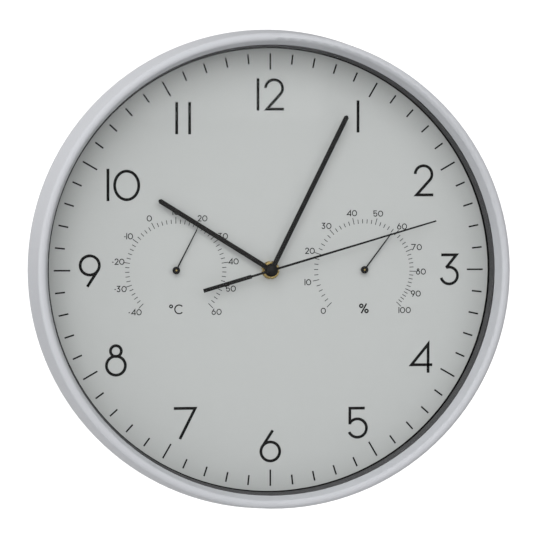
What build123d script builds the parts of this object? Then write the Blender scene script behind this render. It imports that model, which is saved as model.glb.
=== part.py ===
from build123d import *
import os
from math import asin, cos, degrees, radians, sin, tan

# Round wall clock with a thermometer and a hygrometer on its dial, in millimetres.
# The wall is the plane y = 0, the dial faces -Y and +Z is up.
# The origin lies on the wall, where the shank of the wall screw sits at the top of the keyhole.
# A height is a distance in front of the wall. A place on the dial is given beside and above the clock axis.

os.makedirs("parts", exist_ok=True)

# General
overrun = 1.0
running_fit = 0.06
pivot_fit = 0.04
screw_fit = 0.05
press_fit = 0.01

# Stack from the wall to the front edge of the rim
hang_rise = 110.0
dial_height = 22.0
glass_hand_gap = 1.7
crest_rise = 30.0

# Rim
lip_radius = 139.3
lip_overlap = 3.3
lip_thickness = 1.5
lip_edge_radius = 0.4
inner_slope_run = 1.7
flank_draft = 5.7
widest_height = 8.4
widest_round = 8.0
rear_wall = 3.15
rear_tuck = 1.2
rear_edge_radius = 1.0
crest_inner_share = 0.46
crest_outer_share = 0.58

# Glass, spacer ring and dial
glass_thickness = 2.0
glass_clearance = 0.3
ring_clearance = 0.3
ring_top_show = 0.3
ring_break_rise = 4.0
ring_break_show = 1.2
ring_foot_show = 1.6
sheet_thickness = 0.5
sheet_clearance = 0.2
board_thickness = 2.5
board_clearance = 0.3
bush_hole_clearance = 0.15

# Ribs moulded on the back of the dial board
rib_depth = 3.0
rib_thickness = 1.6
outer_rib_inset = 8.0
hanger_rib_gap = 1.0
instrument_rib_gap = 1.0
rib_angles = (30, 60, 120, 150, 180, 210, 240, 300, 330)

# Screws that hold the dial board in the rim
rim_screw_count = 8
rim_screw_offset_angle = 22.5
rim_screw_radius = 0.9
rim_screw_head_radius = 1.9
rim_screw_head_height = 1.3
rim_screw_reach = 7.0
rim_boss_wall = 0.9
rim_screw_head_room = 0.3
pilot_spare = 0.5

# Small screws in the back of the board
small_screw_radius = 0.8
small_screw_head_radius = 1.6
small_screw_head_height = 1.0
small_screw_reach = 1.8
small_pilot_spare = 0.2
screw_slot_half_share = 0.125

# Hanger bracket with its keyhole
hanger_gap = 0.8
hanger_thickness = 1.2
hanger_half_width = 15.0
hanger_foot = 10.0
hanger_bend = 2.0
keyhole_entry_radius = 4.75
keyhole_slot_radius = 2.3
keyhole_drop = 10.0
keyhole_margin = 5.0

# Hands
collet_gap = 0.5
hand_pitch = 2.2
hand_thickness = 0.5
hand_hub_rim = 0.59
hand_tip_share = 0.36
collet_wall = 0.9
collet_below = 0.8
collet_above = 0.4
hour_hand_length = 82.4
hour_hand_width = 3.0
hour_hand_angle = 301.8
minute_hand_length = 107.0
minute_hand_width = 3.0
minute_hand_angle = 26.3
second_hand_length = 107.7
second_hand_root_width = 1.4
second_hand_tip_width = 0.95
second_hand_angle = 73.55
second_hand_thickness = 0.3
second_tube_wall = 0.6
second_tube_below = 0.7
second_cap_radius = 3.15
second_cap_height = 1.6
second_cap_shoulder_share = 0.25
counterweight_start = 13.3
counterweight_end = 44.5
counterweight_width = 2.4

# Bush and nut at the centre of the dial
bush_wall = 1.44
nut_radius = 5.65
nut_thickness = 2.0
nut_chamfer_share = 0.3
nut_notch_count = 4
nut_notch_radius = 0.7
bush_proud = 0.7
washer_radius = 9.0
washer_thickness = 0.8

# Movement housing
movement_width = 56.0
motor_room = 2.75
movement_corner = 3.0
movement_wall = 1.2
movement_floor = 1.3
cover_thickness = 1.2
plate_thickness = 1.2
plate_clearance = 0.2
pillar_radius = 1.6
pillar_inset = 2.2
boss_radius = 1.4
boss_height = 1.0

# Battery
cell_radius = 7.25
cell_length = 49.3
cell_nub_radius = 2.75
cell_nub_length = 1.2
cell_side_room = 0.3
cell_depth_room = 0.1
cell_edge_round = 0.6
bay_floor = 0.7
bay_wall = 1.0
contact_thickness = 0.4
contact_spring_length = 2.3
contact_width = 10.0
contact_height = 10.0
contact_spring_radius = 3.4
contact_spring_tip_radius = 2.2

# Gear train: tooth form, tooth counts and modules
addendum_share = 0.8
dedendum_share = 1.05
tooth_root_half_share = 0.28
tooth_tip_half_share = 0.11
layer_gap = 0.4
front_wheel_thickness = 1.4
wheel_thickness = 1.0
pinion_overhang = 0.1
wheel_room = 0.5
arbor_radius = 0.75
pivot_radius = 0.4
pivot_length = 0.7
end_shake = 0.1
second_arbor_radius = 0.75
minute_tube_wall = 0.79
hour_tube_wall = 0.84
cannon_teeth = 10
motion_wheel_teeth = 30
motion_pinion_teeth = 8
hour_wheel_teeth = 32
knob_pinion_teeth = 10
motion_module = 0.5
second_pinion_teeth = 8
third_wheel_teeth = 60
third_pinion_teeth = 8
centre_wheel_teeth = 64
third_module = 0.32
second_wheel_teeth = 40
intermediate_pinion_teeth = 8
arbor_gap = 0.562
intermediate_wheel_teeth = 36
rotor_pinion_teeth = 6
rotor_module = 0.4
motion_direction = 150
knob_direction = 120
third_direction = 25
intermediate_direction = 90
rotor_direction = 75

# Setting knob
knob_radius = 6.0
knob_thickness = 1.6
knob_gap = 0.3
knob_stem_radius = 1.6
knob_scallop_count = 16
knob_scallop_radius = 0.7
knob_slot_width = 1.4
knob_slot_depth = 0.6

# Step motor
magnet_radius = 2.9
magnet_height = 2.6
magnet_gap = 0.6
stator_thickness = 1.0
stator_ring = 1.4
stator_arm = 2.2
stator_tab = 3.0
core_width = 2.8
core_thickness = 1.2
core_end_inset = 1.2
core_rise = 0.85
bobbin_wall = 0.4
bobbin_flange_radius = 2.7
bobbin_flange_thickness = 0.8
bobbin_end_gap = 0.3
bobbin_clearance = 0.05
winding_inset = 0.3
motor_post_radius = 1.0
upper_tab_reach = 7.8

# Circuit
circuit_knob_gap = 2.34
circuit_length = 24.0
circuit_low = -3.5
circuit_edge_gap = 1.0
circuit_thickness = 1.0
circuit_stand = 2.5
circuit_post_inset = 3.5
crystal_radius = 1.0
crystal_length = 6.0
crystal_inset = 4.5
chip_radius_share = 0.305
chip_height = 1.0
chip_round = 0.7
chip_inset = 7.5

# Thermometer and hygrometer
instrument_offset = 59.0
instrument_plate_radius = 14.0
instrument_plate_thickness = 1.0
coil_rear_room = 2.5
bridge_thickness = 1.0
bridge_width = 5.0
bridge_pillar_radius = 1.4
bridge_pillar_edge = 1.0
instrument_arbor_radius = 0.55
instrument_pivot_radius = 0.35
instrument_screw_edge = 0.7
instrument_screw_angles = (45, 225)
board_hole_room = 0.95
sheet_hole_room = 0.65
coil_turns = 4
coil_strip = 0.4
coil_height = 3.0
coil_gap_below = 1.5
coil_collet_radius = 1.3
coil_collet_gap = 0.15
coil_side_room = 1.0
coil_post_size = 2.0
coil_post_spare = 0.4
pointer_rise = 2.0
pointer_thickness = 0.3
pointer_length = 28.5
pointer_root_width = 0.9
pointer_tip_width = 0.65
pointer_ring_radius = 1.6
pointer_hub_radius = 2.35
pointer_hub_height = 0.7
pointer_pin_proud = 0.25
thermometer_angle = 27.1
hygrometer_angle = 36.8

# Heights worked out from the stack
board_front = dial_height - sheet_thickness
board_back = board_front - board_thickness
crest_height = dial_height + crest_rise
movement_front = board_back - washer_thickness
floor_back = movement_front - movement_floor
hour_back = floor_back - layer_gap - front_wheel_thickness
motion_back = hour_back - layer_gap - front_wheel_thickness
plate_front = motion_back - layer_gap
plate_back = plate_front - plate_thickness
centre_back = plate_back - layer_gap - wheel_thickness
third_back = centre_back - layer_gap - wheel_thickness
second_back = third_back - layer_gap - wheel_thickness
intermediate_back = second_back - layer_gap - wheel_thickness
stator_back = second_back + layer_gap
stator_front = stator_back + stator_thickness
coil_height_middle = stator_back - core_thickness / 2
movement_back = min(
    movement_front - bay_floor - 2 * cell_radius - 2 * cell_depth_room,
    intermediate_back - layer_gap - boss_height - cover_thickness,
    coil_height_middle - bobbin_flange_radius - layer_gap - cover_thickness,
)
cover_front = movement_back + cover_thickness
boss_front = cover_front + boss_height
bush_front = dial_height + nut_thickness + bush_proud
hour_hand_back = bush_front + collet_gap + collet_below
minute_hand_back = hour_hand_back + hand_pitch
second_hand_back = minute_hand_back + hand_pitch
hour_tube_front = hour_hand_back + hand_thickness + collet_above
minute_tube_front = minute_hand_back + hand_thickness + collet_above
second_hand_front = second_hand_back + second_hand_thickness
second_arbor_front = second_hand_front + second_cap_height / 2
cap_front = second_hand_front + second_cap_height
glass_back = cap_front + glass_hand_gap
glass_front = glass_back + glass_thickness
lip_height = glass_front + lip_thickness

# Radii worked out from the fits
glass_radius = lip_radius + lip_overlap
glass_bore = glass_radius + glass_clearance
rim_screw_circle = glass_bore + rim_boss_wall + rim_screw_radius
rear_bore = rim_screw_circle + rim_screw_head_radius + rim_screw_head_room
case_radius = rear_bore + rear_wall
board_radius = rear_bore - board_clearance
crest_outer_radius = case_radius - tan(radians(flank_draft)) * (crest_height - widest_height)
crest_inner_radius = lip_radius + inner_slope_run
crest_width = crest_outer_radius - crest_inner_radius
minute_tube_bore = second_arbor_radius + running_fit
minute_tube_radius = minute_tube_bore + minute_tube_wall
hour_tube_bore = minute_tube_radius + running_fit
hour_tube_radius = hour_tube_bore + hour_tube_wall
bush_bore = hour_tube_radius + running_fit
bush_radius = bush_bore + bush_wall
hour_bore = hour_tube_radius + press_fit
minute_bore = minute_tube_radius + press_fit
hand_hub_radius = hour_bore + collet_wall + hand_hub_rim


def place(distance, direction, start=(0, 0)):
    """Point at a distance from a start, in a direction counter-clockwise from three o'clock."""
    angle = radians(direction)
    return (start[0] + distance * cos(angle), start[1] + distance * sin(angle))


def mesh_distance(module, teeth, mate_teeth):
    """Distance between the axes of two meshed wheels."""
    return module * (teeth + mate_teeth) / 2


def tip_radius(module, teeth):
    """Radius over the teeth of a wheel."""
    return module * (teeth / 2 + addendum_share)


# Places in the train, beside and above the clock axis
motion_distance = mesh_distance(motion_module, cannon_teeth, motion_wheel_teeth)
hour_module = 2 * motion_distance / (hour_wheel_teeth + motion_pinion_teeth)
knob_distance = mesh_distance(motion_module, knob_pinion_teeth, motion_wheel_teeth)
third_distance = mesh_distance(third_module, second_pinion_teeth, third_wheel_teeth)
centre_module = 2 * third_distance / (centre_wheel_teeth + third_pinion_teeth)
second_tip = third_distance - arbor_radius - arbor_gap
second_module = second_tip / (second_wheel_teeth / 2 + addendum_share)
second_distance = mesh_distance(second_module, second_wheel_teeth, intermediate_pinion_teeth)
rotor_distance = mesh_distance(rotor_module, intermediate_wheel_teeth, rotor_pinion_teeth)
motion_place = place(motion_distance, motion_direction)
knob_place = place(knob_distance, knob_direction, motion_place)
third_place = place(third_distance, third_direction)
intermediate_place = place(second_distance, intermediate_direction)
rotor_place = place(rotor_distance, rotor_direction, intermediate_place)

# Outline of the movement, with the battery bay below the train
largest_tip = max(
    tip_radius(centre_module, centre_wheel_teeth),
    tip_radius(hour_module, hour_wheel_teeth),
    second_tip,
)
stator_ring_radius = magnet_radius + magnet_gap + stator_ring
coil_up = rotor_place[1] + core_rise
motor_top = max(coil_up + bobbin_flange_radius, rotor_place[1] + stator_ring_radius)
chamber_side = movement_width / 2 - movement_wall
chamber_top = motor_top + motor_room
movement_top = chamber_top + movement_wall
bay_side = (cell_length + cell_nub_length + contact_spring_length) / 2 + contact_thickness
chamber_low = -largest_tip - wheel_room
bay_top = chamber_low - bay_wall
cell_up = bay_top - cell_side_room - cell_radius
bay_low = cell_up - cell_radius - cell_side_room
movement_low = bay_low - movement_wall
pillar_side = chamber_side - pillar_inset
pillar_places = [
    (side * pillar_side, up)
    for side in (-1, 1)
    for up in (chamber_top - pillar_inset, chamber_low + pillar_inset)
]


def face_plane(height, x=0, up=0):
    """Plane that faces the viewer at a height in front of the wall."""
    return Plane(origin=(x, -height, up - hang_rise), x_dir=(1, 0, 0), z_dir=(0, -1, 0))


def turned_plane(height, angle, x=0):
    """Face plane whose Y axis points along a direction turned clockwise from twelve o'clock."""
    turn = radians(angle)
    return Plane(origin=(x, -height, -hang_rise), x_dir=(cos(turn), 0, -sin(turn)), z_dir=(0, -1, 0))


def profile_plane(x=0, up=0):
    """Plane of a turned profile: X is the radius and Y is the height in front of the wall."""
    return Plane(origin=(x, 0, up - hang_rise), x_dir=(1, 0, 0), z_dir=(0, 0, -1))


def turning_axis(x=0, up=0):
    """Axis that points at the viewer, beside and above the clock axis."""
    return Axis(origin=(x, 0, up - hang_rise), direction=(0, -1, 0))


def disc(back, front, radius, x=0, up=0, mode=Mode.ADD):
    """Adds a disc between two heights to the open part, or cuts it."""
    with Locations(face_plane(back, x, up)):
        Cylinder(radius, front - back, align=(Align.CENTER, Align.CENTER, Align.MIN), mode=mode)


def block(back, front, left, right, low, high, mode=Mode.ADD):
    """Adds a block between two heights to the open part, or cuts it."""
    with Locations(face_plane(back, left, low)):
        Box(right - left, high - low, front - back, align=(Align.MIN, Align.MIN, Align.MIN), mode=mode)


def gear_face(back, teeth, module, phase, x=0, up=0):
    """Outline of a wheel with straight-sided teeth, one of them centred on the phase angle."""
    tip = tip_radius(module, teeth)
    root = module * (teeth / 2 - dedendum_share)
    corner_shares = (
        (-tooth_root_half_share, root),
        (-tooth_tip_half_share, tip),
        (tooth_tip_half_share, tip),
        (tooth_root_half_share, root),
    )
    points = []
    for tooth in range(teeth):
        for share, radius in corner_shares:
            points.append(place(radius, phase + (tooth + share) * 360 / teeth))
    with BuildSketch(face_plane(back, x, up)) as outline:
        with BuildLine():
            Polyline(*points, close=True)
        make_face()
    return outline.sketch


def mesh_phase(phase, teeth, mate_teeth, direction):
    """Phase of a wheel that meshes, in a direction, with a wheel of a known phase."""
    return direction + 180 - (phase - direction) * teeth / mate_teeth + 180 / mate_teeth


def save(piece, name):
    """Labels a finished piece and writes it as one STEP file."""
    piece.part.label = name
    export_step(piece.part, f"parts/{name}.step")


# Case rim: turned ring with a rounded front edge, a lip over the glass and a seat for the dial board
rim_corners = {
    "rear_inner": (rear_bore, 0),
    "rear_outer": (case_radius - rear_tuck, 0),
    "widest": (case_radius, widest_height),
    "crest_outer": (crest_outer_radius, crest_height),
    "crest_inner": (crest_inner_radius, crest_height),
    "lip": (lip_radius, lip_height),
    "lip_under": (lip_radius, glass_front),
    "glass_seat": (glass_bore, glass_front),
    "board_inner": (glass_bore, board_front),
    "board_outer": (rear_bore, board_front),
}
rim_rounds = {
    "rear_outer": rear_edge_radius,
    "widest": widest_round,
    "crest_outer": crest_outer_share * crest_width,
    "crest_inner": crest_inner_share * crest_width,
    "lip": lip_edge_radius,
}
rim_screw_angles = [rim_screw_offset_angle + turn * 360 / rim_screw_count for turn in range(rim_screw_count)]
rim_screw_places = [place(rim_screw_circle, angle) for angle in rim_screw_angles]
rim_pilot_front = board_front + rim_screw_reach + pilot_spare
with BuildPart() as case_rim:
    with BuildSketch(profile_plane()) as rim_profile:
        with BuildLine():
            Polyline(*rim_corners.values(), close=True)
        make_face()
        for corner, radius in rim_rounds.items():
            fillet(rim_profile.vertices().sort_by_distance(rim_corners[corner])[0], radius)
    revolve(axis=turning_axis())
    for x, up in rim_screw_places:
        disc(board_front - overrun, rim_pilot_front, rim_screw_radius + screw_fit, x, up, Mode.SUBTRACT)
save(case_rim, "case_rim")

# Lens glass: flat disc behind the lip
with BuildPart() as lens_glass:
    disc(glass_back, glass_front, glass_radius)
save(lens_glass, "lens_glass")

# Spacer ring: holds the glass off the dial, sloped in front and upright at its foot
ring_outer = glass_bore - ring_clearance
with BuildPart() as spacer_ring:
    with BuildSketch(profile_plane()):
        with BuildLine():
            Polyline(
                (ring_outer, dial_height),
                (lip_radius - ring_foot_show, dial_height),
                (lip_radius - ring_break_show, dial_height + ring_break_rise),
                (lip_radius - ring_top_show, glass_back),
                (ring_outer, glass_back),
                close=True,
            )
        make_face()
    revolve(axis=turning_axis())
save(spacer_ring, "spacer_ring")

# Dial sheet: printed disc with holes for the bush and the two arbors
instrument_places = (-instrument_offset, instrument_offset)
sheet_hole = instrument_arbor_radius + sheet_hole_room
with BuildPart() as dial_sheet:
    disc(board_front, dial_height, glass_radius - sheet_clearance)
    disc(board_front - overrun, dial_height + overrun, bush_radius + bush_hole_clearance, mode=Mode.SUBTRACT)
    for x in instrument_places:
        disc(board_front - overrun, dial_height + overrun, sheet_hole, x, mode=Mode.SUBTRACT)
save(dial_sheet, "dial_sheet")

# Dial board: moulded carrier that closes the case, with ribs and screw holes on its back
hanger_reach = hanger_half_width + hanger_foot
hanger_screw_x = hanger_half_width + hanger_foot / 2
hanger_top = hang_rise + keyhole_slot_radius + keyhole_margin
hanger_low = hang_rise - keyhole_drop - keyhole_entry_radius - keyhole_margin
hanger_middle = (hanger_top + hanger_low) / 2
hanger_screw_places = [(side * hanger_screw_x, hanger_middle) for side in (-1, 1)]
instrument_screw_circle = instrument_plate_radius - small_screw_head_radius - instrument_screw_edge
instrument_screw_places = []
for centre in instrument_places:
    for angle in instrument_screw_angles:
        instrument_screw_places.append(place(instrument_screw_circle, angle, (centre, 0)))
outer_rib_radius = board_radius - outer_rib_inset
inner_rib_radius = instrument_offset - instrument_plate_radius - instrument_rib_gap
board_hole = instrument_arbor_radius + board_hole_room
rib_back = board_back - rib_depth
small_pilot_front = board_back + small_screw_reach + small_pilot_spare
with BuildPart() as dial_board:
    disc(board_back, board_front, board_radius)
    for radius in (outer_rib_radius, inner_rib_radius):
        disc(rib_back, board_back, radius)
        disc(rib_back, board_back, radius - rib_thickness, mode=Mode.SUBTRACT)
    for angle in rib_angles:
        with BuildSketch(turned_plane(rib_back, angle)):
            with Locations((0, (inner_rib_radius + outer_rib_radius - rib_thickness) / 2)):
                Rectangle(rib_thickness, outer_rib_radius - inner_rib_radius)
        extrude(amount=rib_depth)
    block(
        rib_back,
        board_back,
        -hanger_reach - hanger_rib_gap,
        hanger_reach + hanger_rib_gap,
        hanger_low - hanger_rib_gap,
        hanger_top + hanger_rib_gap,
        Mode.SUBTRACT,
    )
    disc(board_back - overrun, board_front + overrun, bush_radius + bush_hole_clearance, mode=Mode.SUBTRACT)
    for x in instrument_places:
        disc(board_back - overrun, board_front + overrun, board_hole, x, mode=Mode.SUBTRACT)
    for x, up in rim_screw_places:
        disc(board_back - overrun, board_front + overrun, rim_screw_radius + screw_fit, x, up, Mode.SUBTRACT)
    for x, up in hanger_screw_places + instrument_screw_places:
        disc(board_back - overrun, small_pilot_front, small_screw_radius + screw_fit, x, up, Mode.SUBTRACT)
save(dial_board, "dial_board")


def screw_group(places, seat, shank_radius, head_radius, head_height, reach):
    """Round-headed screws whose heads stand on a seat and whose shanks point at the viewer."""
    with BuildPart() as screws:
        for x, up in places:
            disc(seat - head_height, seat, head_radius, x, up)
            disc(seat, seat + reach, shank_radius, x, up)
            block(
                seat - head_height,
                seat - head_height / 2,
                x - head_radius / 2,
                x + head_radius / 2,
                up - screw_slot_half_share * head_radius,
                up + screw_slot_half_share * head_radius,
                Mode.SUBTRACT,
            )
    return screws


rim_screws = screw_group(
    rim_screw_places,
    board_back,
    rim_screw_radius,
    rim_screw_head_radius,
    rim_screw_head_height,
    board_thickness + rim_screw_reach,
)
save(rim_screws, "rim_screws")

# Hanger bracket: bent strip with a keyhole, standing off the board so that a screw head fits behind it
hanger_inner = hanger_half_width - hanger_thickness
hanger_inside = hanger_gap + hanger_thickness
foot_back = board_back - hanger_thickness
hanger_bends = {
    (hanger_half_width, hanger_gap): hanger_bend,
    (-hanger_half_width, hanger_gap): hanger_bend,
    (hanger_inner, hanger_inside): hanger_bend - hanger_thickness,
    (-hanger_inner, hanger_inside): hanger_bend - hanger_thickness,
}
with BuildPart() as hanger_bracket:
    with BuildSketch(profile_plane(up=hanger_top)) as hanger_profile:
        with BuildLine():
            Polyline(
                (-hanger_reach, board_back),
                (-hanger_reach, foot_back),
                (-hanger_half_width, foot_back),
                (-hanger_half_width, hanger_gap),
                (hanger_half_width, hanger_gap),
                (hanger_half_width, foot_back),
                (hanger_reach, foot_back),
                (hanger_reach, board_back),
                (hanger_inner, board_back),
                (hanger_inner, hanger_inside),
                (-hanger_inner, hanger_inside),
                (-hanger_inner, board_back),
                close=True,
            )
        make_face()
        for corner, radius in hanger_bends.items():
            fillet(hanger_profile.vertices().sort_by_distance(corner)[0], radius)
    extrude(amount=hanger_top - hanger_low)
    with BuildSketch(face_plane(hanger_gap, up=hang_rise)):
        Circle(keyhole_slot_radius)
        with Locations((0, -keyhole_drop)):
            Circle(keyhole_entry_radius)
        with Locations((0, -keyhole_drop / 2)):
            Rectangle(2 * keyhole_slot_radius, keyhole_drop)
    extrude(amount=hanger_thickness, mode=Mode.SUBTRACT)
    for x, up in hanger_screw_places:
        disc(foot_back - overrun, board_back + overrun, small_screw_radius + screw_fit, x, up, Mode.SUBTRACT)
save(hanger_bracket, "hanger_bracket")

hanger_screws = screw_group(
    hanger_screw_places,
    foot_back,
    small_screw_radius,
    small_screw_head_radius,
    small_screw_head_height,
    hanger_thickness + small_screw_reach,
)
save(hanger_screws, "hanger_screws")


def housing(back, front):
    """Block of the movement's outline: train chamber above, battery bay below, ends rounded."""
    bay_outside = bay_side + movement_wall
    with BuildPart() as outline:
        block(back, front, -movement_width / 2, movement_width / 2, bay_top, movement_top)
        block(back, front, -bay_outside, bay_outside, movement_low, chamber_low)
        corners = outline.edges().filter_by(Axis.Y).group_by(Axis.Z)
        fillet(corners[0] + corners[-1], movement_corner)
    return outline.part


# Movement case: open tray with the train chamber above and the battery bay below
with BuildPart() as movement_case:
    add(housing(cover_front, movement_front))
    block(
        cover_front - overrun,
        floor_back,
        -chamber_side,
        chamber_side,
        chamber_low,
        chamber_top,
        Mode.SUBTRACT,
    )
    block(
        cover_front - overrun,
        movement_front - bay_floor,
        -bay_side,
        bay_side,
        bay_low,
        bay_top,
        Mode.SUBTRACT,
    )
    for x, up in pillar_places:
        disc(plate_front, floor_back, pillar_radius, x, up)
    disc(floor_back - overrun, movement_front + overrun, bush_radius + press_fit, mode=Mode.SUBTRACT)
    disc(
        floor_back - overrun,
        floor_back + pivot_length,
        pivot_radius + pivot_fit,
        *motion_place,
        Mode.SUBTRACT,
    )
save(movement_case, "movement_case")

# Movement cover: back plate with the battery window, the knob's hole and the rear bearings
with BuildPart() as movement_cover:
    add(housing(movement_back, cover_front))
    block(
        movement_back - overrun,
        cover_front + overrun,
        -bay_side,
        bay_side,
        bay_low,
        bay_top,
        Mode.SUBTRACT,
    )
    for x, up in pillar_places:
        disc(cover_front, plate_back, pillar_radius, x, up)
    for x, up in ((0, 0), third_place, intermediate_place, rotor_place):
        disc(cover_front, boss_front, boss_radius, x, up)
        disc(cover_front, boss_front + overrun, pivot_radius + pivot_fit, x, up, Mode.SUBTRACT)
    disc(
        movement_back - overrun,
        cover_front + overrun,
        knob_stem_radius + running_fit,
        *knob_place,
        Mode.SUBTRACT,
    )
save(movement_cover, "movement_cover")

# Middle plate: carries the inner bearings and stands between the pillars of case and cover
arm_low = rotor_place[1] - stator_ring_radius
stator_right = chamber_side - core_end_inset
upper_tab_right = rotor_place[0] + upper_tab_reach
motor_posts = (
    (upper_tab_right - motor_post_radius - bobbin_end_gap, coil_up),
    (stator_right - stator_tab / 2, arm_low + stator_arm / 2),
)
circuit_left = -chamber_side + circuit_edge_gap
circuit_right = knob_place[0] - knob_stem_radius - circuit_knob_gap
circuit_middle = (circuit_left + circuit_right) / 2
circuit_front = plate_back - circuit_stand
circuit_back = circuit_front - circuit_thickness
circuit_posts = (
    (circuit_middle, circuit_low + circuit_post_inset),
    (circuit_middle, circuit_low + circuit_length - circuit_post_inset),
)
with BuildPart() as middle_plate:
    block(
        plate_back,
        plate_front,
        -chamber_side + plate_clearance,
        chamber_side - plate_clearance,
        chamber_low + plate_clearance,
        chamber_top - plate_clearance,
    )
    for x, up in motor_posts:
        disc(stator_front, plate_back, motor_post_radius, x, up)
    for x, up in circuit_posts:
        disc(circuit_front, plate_back, motor_post_radius, x, up)
    disc(plate_back - overrun, plate_front + overrun, minute_tube_radius + running_fit, mode=Mode.SUBTRACT)
    disc(
        plate_back - overrun,
        plate_front + overrun,
        knob_stem_radius + running_fit,
        *knob_place,
        Mode.SUBTRACT,
    )
    for x, up in (motion_place, third_place, intermediate_place, rotor_place):
        disc(plate_back - overrun, plate_front + overrun, pivot_radius + pivot_fit, x, up, Mode.SUBTRACT)
save(middle_plate, "middle_plate")

# Mounting bush: brass tube that carries the movement in the board
with BuildPart() as mounting_bush:
    disc(floor_back, bush_front, bush_radius)
    disc(floor_back - overrun, bush_front + overrun, bush_bore, mode=Mode.SUBTRACT)
save(mounting_bush, "mounting_bush")

# Dial nut: round brass nut with notches for a key
with BuildPart() as dial_nut:
    disc(dial_height, dial_height + nut_thickness, nut_radius)
    chamfer(dial_nut.faces().sort_by(Axis.Y)[0].edges(), nut_chamfer_share * nut_thickness)
    disc(dial_height - overrun, bush_front, bush_radius + screw_fit, mode=Mode.SUBTRACT)
    for turn in range(nut_notch_count):
        x, up = place(nut_radius, turn * 360 / nut_notch_count)
        disc(dial_height - overrun, bush_front, nut_notch_radius, x, up, Mode.SUBTRACT)
save(dial_nut, "dial_nut")

# Cushion washer: rubber ring between movement and board
with BuildPart() as cushion_washer:
    disc(movement_front, board_back, washer_radius)
    disc(
        movement_front - overrun,
        board_back + overrun,
        bush_radius + bush_hole_clearance,
        mode=Mode.SUBTRACT,
    )
save(cushion_washer, "cushion_washer")

# Hour wheel: toothed disc with the pipe that carries the hour hand
with BuildPart() as hour_wheel:
    extrude(gear_face(hour_back, hour_wheel_teeth, hour_module, 0), amount=front_wheel_thickness)
    disc(hour_back, hour_tube_front, hour_tube_radius)
    disc(hour_back - overrun, hour_tube_front + overrun, hour_tube_bore, mode=Mode.SUBTRACT)
save(hour_wheel, "hour_wheel")

# Minute arbor: tube with the cannon pinion, which the centre wheel grips by friction
minute_tube_back = centre_back - pinion_overhang
with BuildPart() as minute_arbor:
    extrude(gear_face(motion_back, cannon_teeth, motion_module, 0), amount=front_wheel_thickness)
    disc(minute_tube_back, minute_tube_front, minute_tube_radius)
    disc(minute_tube_back - overrun, minute_tube_front + overrun, minute_tube_bore, mode=Mode.SUBTRACT)
save(minute_arbor, "minute_arbor")

# Motion wheel: turns the hour wheel from the cannon pinion
motion_phase = mesh_phase(0, cannon_teeth, motion_wheel_teeth, motion_direction)
motion_pinion_phase = mesh_phase(0, hour_wheel_teeth, motion_pinion_teeth, motion_direction)
motion_pinion = gear_face(motion_back, motion_pinion_teeth, hour_module, motion_pinion_phase, *motion_place)
with BuildPart() as motion_wheel:
    extrude(
        gear_face(motion_back, motion_wheel_teeth, motion_module, motion_phase, *motion_place),
        amount=front_wheel_thickness,
    )
    extrude(motion_pinion, amount=floor_back - end_shake - motion_back)
    disc(plate_front - pivot_length, floor_back + pivot_length - end_shake, pivot_radius, *motion_place)
    disc(plate_front + end_shake, motion_back, arbor_radius, *motion_place)
save(motion_wheel, "motion_wheel")

# Centre wheel: runs once an hour and slips on the minute arbor when the hands are set
centre_phase = mesh_phase(0, third_pinion_teeth, centre_wheel_teeth, third_direction + 180)
with BuildPart() as centre_wheel:
    extrude(gear_face(centre_back, centre_wheel_teeth, centre_module, centre_phase), amount=wheel_thickness)
    disc(centre_back - overrun, plate_back, minute_tube_radius + pivot_fit, mode=Mode.SUBTRACT)
save(centre_wheel, "centre_wheel")


def arbor(back, front, radius, x, up):
    """Adds an arbor with a pivot at each end, in the cover's boss and in the middle plate."""
    disc(back, front, radius, x, up)
    disc(back - pivot_length - end_shake, front + pivot_length + end_shake, pivot_radius, x, up)


arbor_back = boss_front + end_shake
arbor_front = plate_back - end_shake

# Third wheel: between the second wheel's pinion and the centre wheel
third_phase = mesh_phase(0, second_pinion_teeth, third_wheel_teeth, third_direction)
third_pinion = gear_face(centre_back - pinion_overhang, third_pinion_teeth, centre_module, 0, *third_place)
with BuildPart() as third_wheel:
    extrude(
        gear_face(third_back, third_wheel_teeth, third_module, third_phase, *third_place),
        amount=wheel_thickness,
    )
    extrude(third_pinion, amount=wheel_thickness + 2 * pinion_overhang)
    arbor(arbor_back, arbor_front, arbor_radius, *third_place)
save(third_wheel, "third_wheel")

# Second wheel: turns once a minute and carries the second hand on its long arbor
second_pinion = gear_face(third_back - pinion_overhang, second_pinion_teeth, third_module, 0)
with BuildPart() as second_wheel:
    extrude(gear_face(second_back, second_wheel_teeth, second_module, 0), amount=wheel_thickness)
    extrude(second_pinion, amount=wheel_thickness + 2 * pinion_overhang)
    disc(arbor_back, second_arbor_front, second_arbor_radius)
    disc(arbor_back - pivot_length - end_shake, arbor_back, pivot_radius)
save(second_wheel, "second_wheel")

# Intermediate wheel: between the rotor and the second wheel
intermediate_phase = mesh_phase(0, second_wheel_teeth, intermediate_pinion_teeth, intermediate_direction)
intermediate_pinion = gear_face(
    second_back - pinion_overhang,
    intermediate_pinion_teeth,
    second_module,
    intermediate_phase,
    *intermediate_place,
)
with BuildPart() as intermediate_wheel:
    extrude(
        gear_face(intermediate_back, intermediate_wheel_teeth, rotor_module, 0, *intermediate_place),
        amount=wheel_thickness,
    )
    extrude(intermediate_pinion, amount=wheel_thickness + 2 * pinion_overhang)
    arbor(arbor_back, arbor_front, arbor_radius, *intermediate_place)
save(intermediate_wheel, "intermediate_wheel")

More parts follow.
